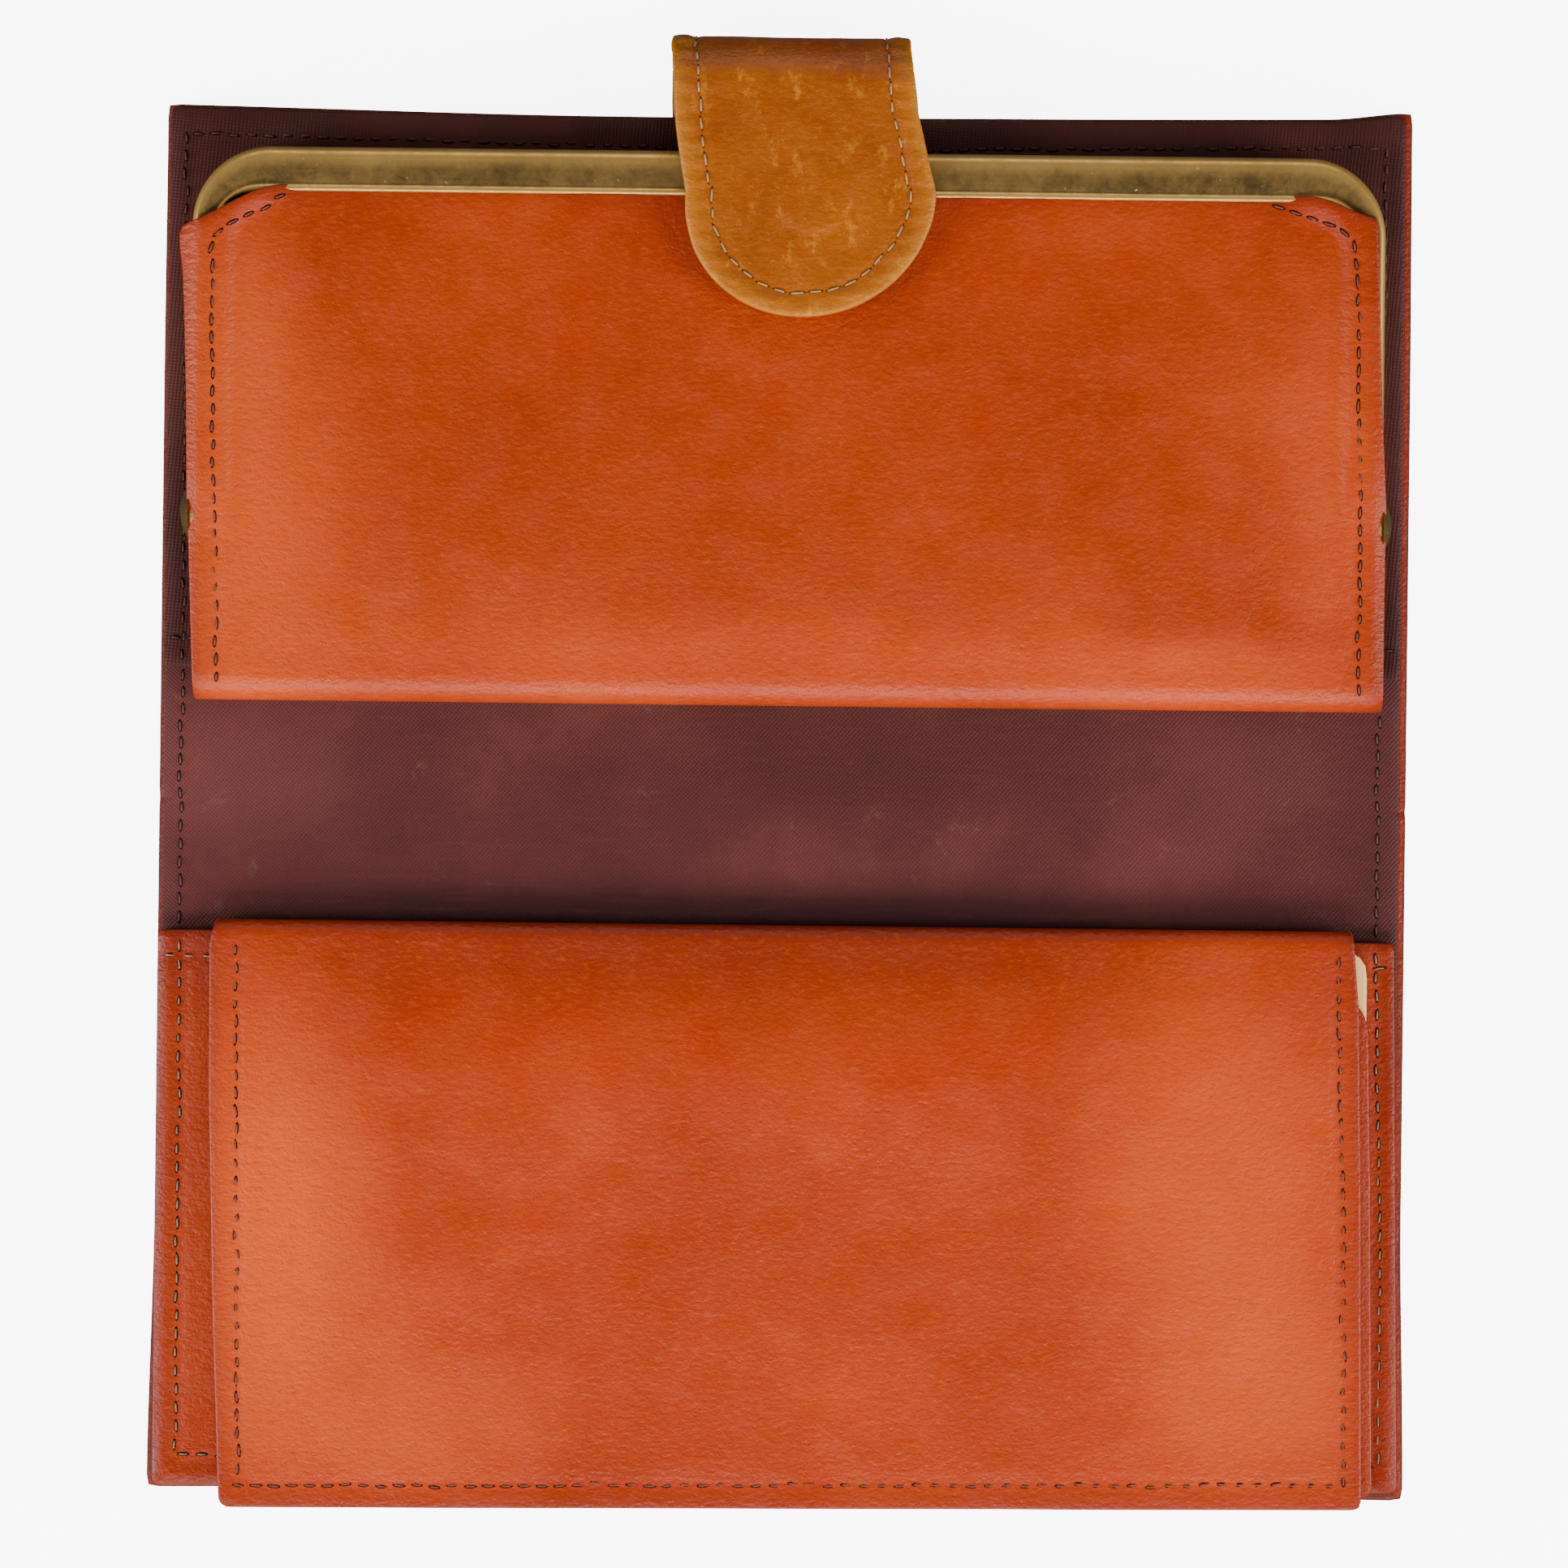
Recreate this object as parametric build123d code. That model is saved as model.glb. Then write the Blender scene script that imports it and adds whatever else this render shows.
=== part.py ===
"""Long wallet with a clasp-frame purse, a card folder and a wrap-round closing tab.

Millimetres. X runs along the spine, +Y towards the closing tab, +Z up from the table.
The wallet lies open and flat with its lining upwards. Drawing coordinates have Y = 0 on the
centre of the spine; every node is moved by SHIFT_Y when it is written.
"""
import math
import os

from build123d import *

os.makedirs("parts", exist_ok=True)

SHIFT_Y = -5.2            # centres the finished outline on the origin

# cover
COVER_W = 190.0
COVER_Y = 105.0
COVER_CORNER = 6.0
SPINE_HALF = 9.75         # distance of each fold from the spine's centre
FOLD_GAP = 0.15
COVER_Z = 1.6
LEATHER_T = 1.0
BOARD_T = 0.8
LINING_TOP = 3.7
BOARD_INSET = 6.0

# pockets
REAR_POCKET_HEM = 20.0
FRONT_POCKET_HEM = -20.2
FRONT_POCKET_Z = 4.9
FRONT_POCKET_T = 0.9
SEAM_W = 3.5

# purse and its frame
PURSE_X = 89.0
PURSE_BOTTOM = 15.0
FRAME_X = 90.1
FRAME_TOP = 98.6
FRAME_BAR = 6.8
FRAME_ARM = 3.9
FRAME_CORNER = 12.0
HINGE_Y = 43.3
HINGE_Z = 9.2
EAR_R = 4.0
JAW_GAP = 0.15
REAR_JAW_Z = 5.2
FRONT_JAW_TOP = 13.5
PURSE_FRONT_Z = 12.0
PURSE_LEATHER_T = 0.8
FLEX_LOW = 37.0
RIVET_R = 1.2
RIVET_HEAD_R = 4.3
BALL_R = 3.0
BALL_Y = 101.8

# folder and insert
LEAF_LEFT = -86.6
LEAF_RIGHT = 87.6
LEAF_END = -106.0
LEAF_Z = 7.6
LEAF_T = 0.9
FOLD_Y = -18.2

# closing tab
TAB_W = 36.0
TAB_T = 1.6
BEND_Y = 107.9
BEND_Z = 8.5
BEND_R = 7.7
CROWN_ANGLE = 22.0
FLAP_START = 102.6
FLAP_CENTRE = (3.3, 92.2)
FLAP_END_R = 18.6
SNAP_X = 3.4
SNAP_Y = 91.9
STUD_Y = -96.63
SNAP_R = 6.1


def block(x0, x1, y0, y1, z0, z1):
    """Box between two corners."""
    centre = ((x0 + x1) / 2, (y0 + y1) / 2, (z0 + z1) / 2)
    return Pos(*centre) * Box(x1 - x0, y1 - y0, z1 - z0)


def rounded_plate(x0, x1, y0, y1, z0, z1, radius, corners):
    """Plate whose named corners (pairs of signs) are rounded in plan."""
    plate = block(x0, x1, y0, y1, z0, z1)
    picked = []
    for edge in plate.edges().filter_by(Axis.Z):
        middle = edge.center()
        sign_x = 1 if middle.X > (x0 + x1) / 2 else -1
        sign_y = 1 if middle.Y > (y0 + y1) / 2 else -1
        if (sign_x, sign_y) in corners:
            picked.append(edge)
    return fillet(picked, radius)


def disc(x, y, z0, z1, radius):
    """Upright cylinder."""
    return Pos(x, y, (z0 + z1) / 2) * Cylinder(radius, z1 - z0)


def cross_pin(x0, x1, y, z, radius):
    """Cylinder along X."""
    return Pos((x0 + x1) / 2, y, z) * Rot(0, 90, 0) * Cylinder(radius, x1 - x0)


def save(name, solid):
    """Write one node in the finished position."""
    export_step(Pos(0, SHIFT_Y, 0) * solid, os.path.join("parts", name + ".step"))


# ---------------------------------------------------------------- covers
def cover_half(side):
    """Outer leather, board and lining of one half; side is +1 rear, -1 front."""
    inner = SPINE_HALF + FOLD_GAP
    corners = [(1, side), (-1, side)]
    half_w = COVER_W / 2

    def plate(inset, z0, z1, radius):
        near = inner + (4.0 if inset else 0.0)
        far = COVER_Y - inset
        low, high = sorted((side * near, side * far))
        return rounded_plate(-half_w + inset, half_w - inset, low, high, z0, z1, radius, corners)

    leather_top = COVER_Z + LEATHER_T
    leather = plate(0, COVER_Z, leather_top, COVER_CORNER)
    board = plate(BOARD_INSET, leather_top, leather_top + BOARD_T, 3.0)
    lining = plate(0, leather_top, LINING_TOP, COVER_CORNER) - board
    return leather, board, lining


rear_leather, rear_board, rear_lining = cover_half(1)
front_leather, front_board, front_lining = cover_half(-1)
stud_hole = disc(SNAP_X, STUD_Y, 0, LINING_TOP - 0.3, 1.5)
save("outer_cover_rear", rear_leather)
save("stiffener_rear", rear_board)
save("lining_rear", rear_lining)
save("outer_cover_front", front_leather - stud_hole)
save("stiffener_front", front_board - stud_hole)
save("lining_front", front_lining)

spine_half = SPINE_HALF - FOLD_GAP
spine_box = (-COVER_W / 2, COVER_W / 2, -spine_half, spine_half)
save("outer_cover_spine", block(*spine_box, COVER_Z, COVER_Z + LEATHER_T))
save("lining_spine", block(*spine_box, COVER_Z + LEATHER_T, LINING_TOP))


# ---------------------------------------------------------------- flat pockets
def pocket(side, hem, z_inside, z_top, far, half_w, corner):
    """Pocket panel with a seam round three sides, open towards the spine."""
    low, high = sorted((hem, side * far))
    corners = [(1, side), (-1, side)]
    panel = rounded_plate(-half_w, half_w, low, high, LINING_TOP, z_top, corner, corners)
    far_inside = side * (far - SEAM_W)
    low, high = sorted((hem - side, far_inside))
    space = block(-half_w + SEAM_W, half_w - SEAM_W, low, high, LINING_TOP, z_inside)
    return panel - space


save("bill_pocket_rear", pocket(1, REAR_POCKET_HEM, 4.0, 4.4, 104.4, 94.4, 5.4))
front_pocket_top = FRONT_POCKET_Z + FRONT_POCKET_T
save("bill_pocket_front",
     pocket(-1, FRONT_POCKET_HEM, FRONT_POCKET_Z, front_pocket_top, 104.0, 94.0, 5.4))


# ---------------------------------------------------------------- purse frame
def jaw_outline(z0, z1):
    """Bar and two arms of one jaw, down to just above the ears."""
    low = HINGE_Y + EAR_R + 0.5
    outer = rounded_plate(-FRAME_X, FRAME_X, low, FRAME_TOP, z0, z1, FRAME_CORNER,
                          [(1, 1), (-1, 1)])
    inner_x = FRAME_X - FRAME_ARM
    inner = rounded_plate(-inner_x, inner_x, low - 1, FRAME_TOP - FRAME_BAR, z0 - 1, z1 + 1,
                          FRAME_CORNER - FRAME_ARM, [(1, 1), (-1, 1)])
    return outer - inner


def ear_pair(x_low, x_high, z0, z1):
    """Two hinge ears with pin holes and the links that carry them, mirrored in X."""
    link_end = HINGE_Y + EAR_R + 2.0
    solids = []
    for side in (-1, 1):
        x0, x1 = sorted((side * x_low, side * x_high))
        ear = cross_pin(x0, x1, HINGE_Y, HINGE_Z, EAR_R)
        link = block(x0, x1, HINGE_Y, link_end, z0, z1)
        hole = cross_pin(x0 - 1, x1 + 1, HINGE_Y, HINGE_Z, RIVET_R + 0.15)
        solids.append(ear + link - hole)
    return solids


rear_jaw_top = HINGE_Z - JAW_GAP
front_jaw_low = HINGE_Z + JAW_GAP
rear_jaw = jaw_outline(REAR_JAW_Z, rear_jaw_top)
for ear in ear_pair(88.35, FRAME_X, REAR_JAW_Z, rear_jaw_top):
    rear_jaw = rear_jaw + ear
front_jaw = jaw_outline(front_jaw_low, FRONT_JAW_TOP)
top_edges = front_jaw.edges().group_by(Axis.Z)[-1]
front_jaw = chamfer(top_edges, 0.8)
for ear in ear_pair(86.2, 88.05, front_jaw_low, FRONT_JAW_TOP - 0.9):
    front_jaw = front_jaw + ear

front_panel_z = (PURSE_FRONT_Z, PURSE_FRONT_Z + PURSE_LEATHER_T)
front_upper = rounded_plate(-87.6, 87.6, HINGE_Y + 0.3, 94.0, *front_panel_z, 9.0,
                            [(1, 1), (-1, 1)])
front_upper = front_upper - block(-89, -86.0, 40, 50.2, 11, 14) - block(86.0, 89, 40, 50.2, 11, 14)
front_jaw = front_jaw - front_upper
save("frame_rear_jaw", rear_jaw)
save("frame_front_jaw", front_jaw)


def kiss_ball(x, stalk_z):
    """Ball of the kiss lock on a short stalk from the bar."""
    ball = Pos(x, BALL_Y, HINGE_Z) * Sphere(BALL_R)
    length = BALL_Y - FRAME_TOP
    stalk = Pos(x, FRAME_TOP + length / 2, stalk_z) * Rot(90, 0, 0) * Cylinder(1.1, length)
    return ball + stalk


save("kiss_ball_rear", kiss_ball(-3.2, 7.6))
save("kiss_ball_front", kiss_ball(3.2, 10.8))


def hinge_rivet(side):
    """Rivet pin through both ears with a domed head outside."""
    pin_in, pin_out = sorted((side * 85.8, side * (FRAME_X + 0.4)))
    pin = cross_pin(pin_in, pin_out, HINGE_Y, HINGE_Z, RIVET_R)
    ball_r = 7.0
    sagitta = ball_r - math.sqrt(ball_r ** 2 - RIVET_HEAD_R ** 2)
    face = FRAME_X + 0.05
    ball = Pos(side * (face + sagitta - ball_r), HINGE_Y, HINGE_Z) * Sphere(ball_r)
    keep_in, keep_out = sorted((side * face, side * (face + 4)))
    dome = ball & cross_pin(keep_in, keep_out, HINGE_Y, HINGE_Z, RIVET_HEAD_R)
    return pin + dome


left_rivet = hinge_rivet(-1)
save("hinge_rivet_left", left_rivet)
save("hinge_rivet_right", mirror(left_rivet, about=Plane.YZ))

# ---------------------------------------------------------------- purse bag
back_panel = rounded_plate(-PURSE_X, PURSE_X, PURSE_BOTTOM + 1, 97.8, 4.6, REAR_JAW_Z,
                           10.0, [(1, 1), (-1, 1)])
for side in (-1, 1):
    edge_in, edge_out = sorted((side * 85.9, side * (PURSE_X + 1)))
    back_panel = back_panel - block(edge_in, edge_out, 38.5, 48.6, 4.0, 6.0)
save("purse_back_panel", back_panel)
save("purse_lining_back", block(-83.0, 83.0, 17.0, 88.0, REAR_JAW_Z, 5.5))
save("purse_front_upper", front_upper)
save("purse_lining_front", block(-83.0, 83.0, HINGE_Y + 0.6, 88.0, 11.6, PURSE_FRONT_Z))
lower = rounded_plate(-PURSE_X, PURSE_X, PURSE_BOTTOM, FLEX_LOW, 4.6, front_panel_z[1],
                      5.0, [(1, -1), (-1, -1)])
lower_space = block(-PURSE_X + 0.8, PURSE_X - 0.8, PURSE_BOTTOM + 0.8, FLEX_LOW + 1,
                    REAR_JAW_Z, PURSE_FRONT_Z)
lower_floor = block(-PURSE_X - 1, PURSE_X + 1, PURSE_BOTTOM + 1, FLEX_LOW + 1, 4.0, REAR_JAW_Z)
save("purse_front_lower", lower - lower_space - lower_floor)
save("purse_front_flex", block(-86.0, 86.0, FLEX_LOW + 0.1, HINGE_Y + 0.2, *front_panel_z))
save("purse_gusset_left", block(-85.6, -84.9, FLEX_LOW + 0.1, 83.5, 5.6, 11.4))
save("purse_gusset_right", block(84.9, 85.6, FLEX_LOW + 0.1, 83.5, 5.6, 11.4))

# ---------------------------------------------------------------- folder and insert
save("folder_back_leaf", block(-84.0, 84.0, -100.0, FOLD_Y - 0.8, 4.0, 4.7))
save("folder_fold", block(-84.0, 84.0, FOLD_Y - 0.7, FOLD_Y, 4.0, LEAF_Z + LEAF_T))
save("folder_front_leaf", rounded_plate(LEAF_LEFT, LEAF_RIGHT, LEAF_END, FOLD_Y - 0.9, LEAF_Z,
                                        LEAF_Z + LEAF_T, 3.0, [(1, -1), (-1, -1)]))
save("folder_leaf_pocket", rounded_plate(-84.0, 89.6, LEAF_END + 1.5, -27.5, 6.7, LEAF_Z,
                                         3.0, [(1, -1), (-1, -1)]))
save("insert_card", rounded_plate(-80.0, 89.0, -95.0, -21.2, 6.0, 6.4, 3.0,
                                  [(1, 1), (1, -1), (-1, 1), (-1, -1)]))

# ---------------------------------------------------------------- snap
stud = disc(SNAP_X, STUD_Y, 1.0, COVER_Z, 5.5) + disc(SNAP_X, STUD_Y, 0.0, 1.0, 2.0)
save("snap_stud", stud)
save("snap_post", disc(SNAP_X, STUD_Y, COVER_Z, LINING_TOP - 0.3, 1.5))


# ---------------------------------------------------------------- closing tab
def arc_band(x_half, start, end, r_in, r_out):
    """Part of the round bend, angles in degrees from +Y towards +Z."""
    ring = cross_pin(-x_half, x_half, BEND_Y, BEND_Z, r_out)
    ring = ring - cross_pin(-x_half - 1, x_half + 1, BEND_Y, BEND_Z, r_in)
    reach = 3 * r_out
    steps = 8
    points = [(BEND_Y, BEND_Z)]
    for step in range(steps + 1):
        angle = math.radians(start + (end - start) * step / steps)
        points.append((BEND_Y + reach * math.cos(angle), BEND_Z + reach * math.sin(angle)))
    sector = Plane.YZ * make_face(Polyline(*points, close=True))
    wedge = Pos(-x_half - 1, 0, 0) * extrude(sector, 2 * x_half + 2)
    return ring & wedge


def flap_outline(grow):
    """Plan outline of the flap: slightly skewed straight sides and a round end."""
    cx, cy = FLAP_CENTRE
    radius = FLAP_END_R + grow
    left, right = -TAB_W / 2 + 1.1 - grow, TAB_W / 2 + 1.1 + grow
    sides = Polyline((cx - radius, cy), (left, FLAP_START - 0.25), (right, FLAP_START - 0.25),
                     (cx + radius, cy))
    end = ThreePointArc((cx + radius, cy), (cx, cy - radius), (cx - radius, cy))
    return make_face([sides, end])


half_tab = TAB_W / 2
r_low, r_mid, r_high = BEND_R - TAB_T / 2, BEND_R, BEND_R + TAB_T / 2
flap_z = BEND_Z + r_low
flap_mid = flap_z + TAB_T / 2
save("tab_base_leather", block(-half_tab, half_tab, 84.0, 107.1, 0.0, TAB_T / 2))
save("tab_base_lining", block(-half_tab, half_tab, 84.0, 107.1, TAB_T / 2, TAB_T))
for name, r_in, r_out in (("leather", r_mid, r_high), ("lining", r_low, r_mid)):
    height = r_out - r_in
    riser = arc_band(half_tab, -90, -CROWN_ANGLE - 1.2, r_in, r_out)
    heel = block(-half_tab, half_tab, 107.4, BEND_Y, BEND_Z - r_out, BEND_Z - r_in)
    save("tab_riser_" + name, riser + heel)
    save("tab_crown_" + name, arc_band(half_tab, -CROWN_ANGLE + 1.2, CROWN_ANGLE - 1.2, r_in, r_out))
    shoulder = arc_band(half_tab, CROWN_ANGLE + 1.2, 90, r_in, r_out)
    top = block(-half_tab, half_tab, FLAP_START, BEND_Y, BEND_Z + r_in, BEND_Z + r_out)
    save("tab_shoulder_" + name, shoulder + top)
    grow = 0.0 if name == "leather" else -0.6
    flap = Pos(0, 0, BEND_Z + r_in) * extrude(flap_outline(grow), height)
    if name == "lining":
        recess = disc(SNAP_X, SNAP_Y, flap_mid - 0.3, flap_mid, SNAP_R)
        bore = disc(SNAP_X, SNAP_Y, flap_z - 1, flap_mid, 1.5)
        flap = flap - recess - bore
    save("tab_flap_" + name, flap)

socket = disc(SNAP_X, SNAP_Y, 14.0, flap_z, SNAP_R) - disc(SNAP_X, SNAP_Y, 13.5, flap_z - 0.2, 2.4)
save("snap_socket", socket)
washer = disc(SNAP_X, SNAP_Y, flap_mid - 0.3, flap_mid, SNAP_R) + disc(SNAP_X, SNAP_Y, flap_z, flap_mid, 1.5)
save("snap_socket_back", washer)
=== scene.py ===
import math

import bpy
import numpy as np
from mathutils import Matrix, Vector

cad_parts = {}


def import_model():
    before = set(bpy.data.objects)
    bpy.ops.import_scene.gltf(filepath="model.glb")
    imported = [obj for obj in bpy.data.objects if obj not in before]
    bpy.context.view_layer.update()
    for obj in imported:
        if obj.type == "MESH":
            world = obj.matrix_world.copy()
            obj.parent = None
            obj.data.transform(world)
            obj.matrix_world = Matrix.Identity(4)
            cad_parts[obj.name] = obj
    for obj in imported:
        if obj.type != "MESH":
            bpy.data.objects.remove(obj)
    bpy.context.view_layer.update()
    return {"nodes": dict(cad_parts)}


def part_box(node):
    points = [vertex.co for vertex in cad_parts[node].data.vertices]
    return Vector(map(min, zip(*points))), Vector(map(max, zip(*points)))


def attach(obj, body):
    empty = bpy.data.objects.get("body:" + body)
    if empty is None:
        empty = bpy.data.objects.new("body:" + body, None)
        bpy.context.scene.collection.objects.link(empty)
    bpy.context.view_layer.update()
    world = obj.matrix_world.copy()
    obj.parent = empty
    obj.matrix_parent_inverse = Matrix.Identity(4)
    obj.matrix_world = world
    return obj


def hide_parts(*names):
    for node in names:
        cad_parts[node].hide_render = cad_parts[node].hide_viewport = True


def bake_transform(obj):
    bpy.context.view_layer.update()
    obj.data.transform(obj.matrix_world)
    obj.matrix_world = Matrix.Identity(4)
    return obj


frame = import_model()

# Local drawing coordinates: millimetres, Y = 0 on the centre of the spine, Z = 0 on the table.
MM = 0.001
SPINE_LOW, SPINE_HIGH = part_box("outer_cover_spine")
SPINE_Y = (SPINE_LOW[1] + SPINE_HIGH[1]) / 2
UV_UNIT = 100.0          # one UV unit is 100 mm
PI = math.pi


def node_mm(node):
    """(x0, x1, y0, y1, z0, z1) of a CAD node in local millimetres."""
    low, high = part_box(node)
    return (low[0] / MM, high[0] / MM, (low[1] - SPINE_Y) / MM, (high[1] - SPINE_Y) / MM,
            low[2] / MM, high[2] / MM)


def world(x, y, z):
    """Local millimetres to metres in the shared frame."""
    return (x * MM, y * MM + SPINE_Y, z * MM)


# ---- small maths
def smooth(low, high, value):
    """Smoothstep from 0 at low to 1 at high."""
    t = np.clip((np.asarray(value, float) - low) / (high - low), 0.0, 1.0)
    return t * t * (3.0 - 2.0 * t)


def bell(value, centre, width):
    """Gaussian bump of height 1."""
    return np.exp(-((np.asarray(value, float) - centre) / width) ** 2)


def ripple(x, y, size, seed, size_y=None):
    """Smooth seeded noise from -1 to 1 with features of the given size."""
    table = np.random.default_rng(seed).uniform(-1.0, 1.0, (64, 64))
    gx = np.asarray(x, float) / size + 100.0
    gy = np.asarray(y, float) / (size_y or size) + 100.0
    ix, iy = np.floor(gx).astype(int), np.floor(gy).astype(int)
    fx, fy = gx - ix, gy - iy
    fx, fy = fx * fx * (3 - 2 * fx), fy * fy * (3 - 2 * fy)
    low = table[ix % 64, iy % 64] * (1 - fx) + table[(ix + 1) % 64, iy % 64] * fx
    high = table[ix % 64, (iy + 1) % 64] * (1 - fx) + table[(ix + 1) % 64, (iy + 1) % 64] * fx
    return low * (1 - fy) + high * fy


def knots(value, *pairs):
    """Piecewise-linear curve through (position, value) pairs."""
    return np.interp(value, [p[0] for p in pairs], [p[1] for p in pairs])


# ---- meshes
def make_object(name, verts, faces, materials, uv=None, edge=None, face_mats=None, smooth_shade=True):
    """Mesh object from local millimetres, with a rest UV map and an edge-wear attribute."""
    points = np.array(verts, float) * MM
    points[:, 1] += SPINE_Y
    mesh = bpy.data.meshes.new(name)
    mesh.from_pydata(points.tolist(), [], [list(map(int, f)) for f in faces])
    for material in materials:
        mesh.materials.append(material)
    if face_mats is not None:
        mesh.polygons.foreach_set("material_index", np.asarray(face_mats, np.int32))
    mesh.polygons.foreach_set("use_smooth", np.full(len(mesh.polygons), smooth_shade))
    loops = np.zeros(len(mesh.loops), np.int32)
    mesh.loops.foreach_get("vertex_index", loops)
    if uv is None:
        uv = np.array(verts, float)[:, :2]
    layer = mesh.uv_layers.new(name="rest")
    layer.data.foreach_set("uv", (np.asarray(uv, float)[loops] / UV_UNIT).astype(np.float32).ravel())
    attribute = mesh.attributes.new("edge", "FLOAT", "POINT")
    values = np.zeros(len(verts)) if edge is None else np.asarray(edge, float)
    attribute.data.foreach_set("value", values.astype(np.float32))
    mesh.update()
    mesh.validate()
    obj = bpy.data.objects.new(name, mesh)
    bpy.context.scene.collection.objects.link(obj)
    return obj


def flat_place(a, b, h):
    """Flat sheet: a is X, b is Y, h is Z."""
    return np.stack([a, b, h], axis=-1)


def square_to_round(a, b, rect, radii, inset):
    """Pulls the grid's corners in to round ones. radii: low-low, high-low, low-high, high-high."""
    a, b = a.copy(), b.copy()
    x0, x1, y0, y1 = rect
    for index, radius in enumerate(radii):
        if radius <= inset:
            continue
        sx = 1 if index % 2 else -1
        sy = 1 if index > 1 else -1
        cx = (x1 - radius) if sx > 0 else (x0 + radius)
        cy = (y1 - radius) if sy > 0 else (y0 + radius)
        dx, dy = (a - cx) * sx, (b - cy) * sy
        inside = (dx > 0) & (dy > 0)
        scale = np.where(inside, np.maximum(dx, dy) / np.maximum(np.hypot(dx, dy), 1e-9), 1.0)
        a = np.where(inside, cx + sx * dx * scale, a)
        b = np.where(inside, cy + sy * dy * scale, b)
    return a, b


def sheet(name, rect, top, thick, materials, place=flat_place, step=1.2, step_b=None, radii=(0, 0, 0, 0),
          warp=None, round_edge=0.35, wear_width=2.2, back_material=0, edge_material=0, bottom=None,
          joined=()):
    """Closed sheet with rounded edges over a rectangle of (a, b), lifted by top(a, b)."""
    x0, x1, y0, y1 = rect
    e = round_edge
    na = max(3, int((x1 - x0) / step) + 2)
    nb = max(3, int((y1 - y0) / (step_b or step)) + 2)
    a, b = np.meshgrid(np.linspace(x0 + e, x1 - e, na), np.linspace(y0 + e, y1 - e, nb), indexing="ij")
    far = np.full_like(a, 99.0)
    margin = np.minimum.reduce([a - x0, x1 - a, far if "low" in joined else b - y0,
                                far if "high" in joined else y1 - b])
    a, b = square_to_round(a, b, rect, radii, e)
    if warp:
        a, b = warp(a, b)
    ids = np.arange(na * nb).reshape(na, nb)
    loop = np.concatenate([ids[:-1, 0], ids[-1, :-1], ids[:0:-1, -1], ids[0, :0:-1]])
    fa, fb = a.ravel(), b.ravel()
    la, lb = fa[loop], fb[loop]
    ta, tb = np.roll(la, -1) - np.roll(la, 1), np.roll(lb, -1) - np.roll(lb, 1)
    size = np.maximum(np.hypot(ta, tb), 1e-9)
    out_a, out_b = tb / size, -ta / size
    high = top(fa, fb)
    low = bottom(fa, fb) if bottom else high - thick
    middle, half = (high[loop] + low[loop]) / 2, (high[loop] - low[loop]) / 2
    all_a, all_b, all_h = [fa], [fb], [high]
    rings = 5
    for k in range(1, rings):
        angle = PI * k / rings
        all_a.append(la + out_a * e * math.sin(angle))
        all_b.append(lb + out_b * e * math.sin(angle))
        all_h.append(middle + half * math.cos(angle))
    all_a.append(fa)
    all_b.append(fb)
    all_h.append(low)
    va, vb, vh = np.concatenate(all_a), np.concatenate(all_b), np.concatenate(all_h)
    n, m = na * nb, len(loop)
    quads = np.stack([ids[:-1, :-1], ids[1:, :-1], ids[1:, 1:], ids[:-1, 1:]], axis=-1).reshape(-1, 4)
    base_low = n + (rings - 1) * m
    faces = [quads]
    mats = [np.zeros(len(quads))]
    previous = loop
    for k in range(1, rings + 1):
        current = (n + (k - 1) * m + np.arange(m)) if k < rings else base_low + loop
        ring = np.stack([previous, current, np.roll(current, -1), np.roll(previous, -1)], axis=-1)
        faces.append(ring)
        mats.append(np.full(m, edge_material))
        previous = current
    faces.append(base_low + quads[:, ::-1])
    mats.append(np.full(len(quads), back_material))
    wear_top = np.exp(-np.maximum(margin.ravel(), 0) / wear_width)
    wear = np.concatenate([wear_top, np.tile(wear_top[loop], rings - 1), wear_top])
    points = place(va, vb, vh)
    obj = make_object(name, points, np.concatenate(faces), materials, uv=np.stack([va, vb], axis=-1),
                      edge=wear, face_mats=np.concatenate(mats))
    seam = set()
    if "low" in joined:
        seam |= set(ids[:, 0].tolist())
    if "high" in joined:
        seam |= set(ids[:, -1].tolist())
    if seam:
        seam |= {base_low + v for v in seam}
        for line in obj.data.edges:
            if line.vertices[0] in seam and line.vertices[1] in seam:
                line.use_edge_sharp = True
    return obj


def settle(piece, body, slot, *nodes, fold=None):
    """Rides the piece on a body, or at a fold only bakes its transform where it lies; hides the CAD nodes it
    takes the place of.
    """
    if fold:
        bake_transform(piece)
    else:
        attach(piece, body)
    if nodes:
        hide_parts(*nodes)


def path_points(path, pitch):
    """Centres and directions at an even pitch along a polyline of (a, b)."""
    path = np.array(path, float)
    lengths = np.hypot(*np.diff(path, axis=0).T)
    total = np.concatenate([[0], np.cumsum(lengths)])
    count = max(2, int(round(total[-1] / pitch)))
    at = (np.arange(count) + 0.5) * total[-1] / count

    def point(run):
        return np.stack([np.interp(run, total, path[:, axis]) for axis in (0, 1)], axis=-1)

    centre, direction = point(at), point(at + 0.2) - point(at - 0.2)
    direction /= np.maximum(np.hypot(direction[:, 0], direction[:, 1])[:, None], 1e-9)
    return centre, direction


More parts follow.
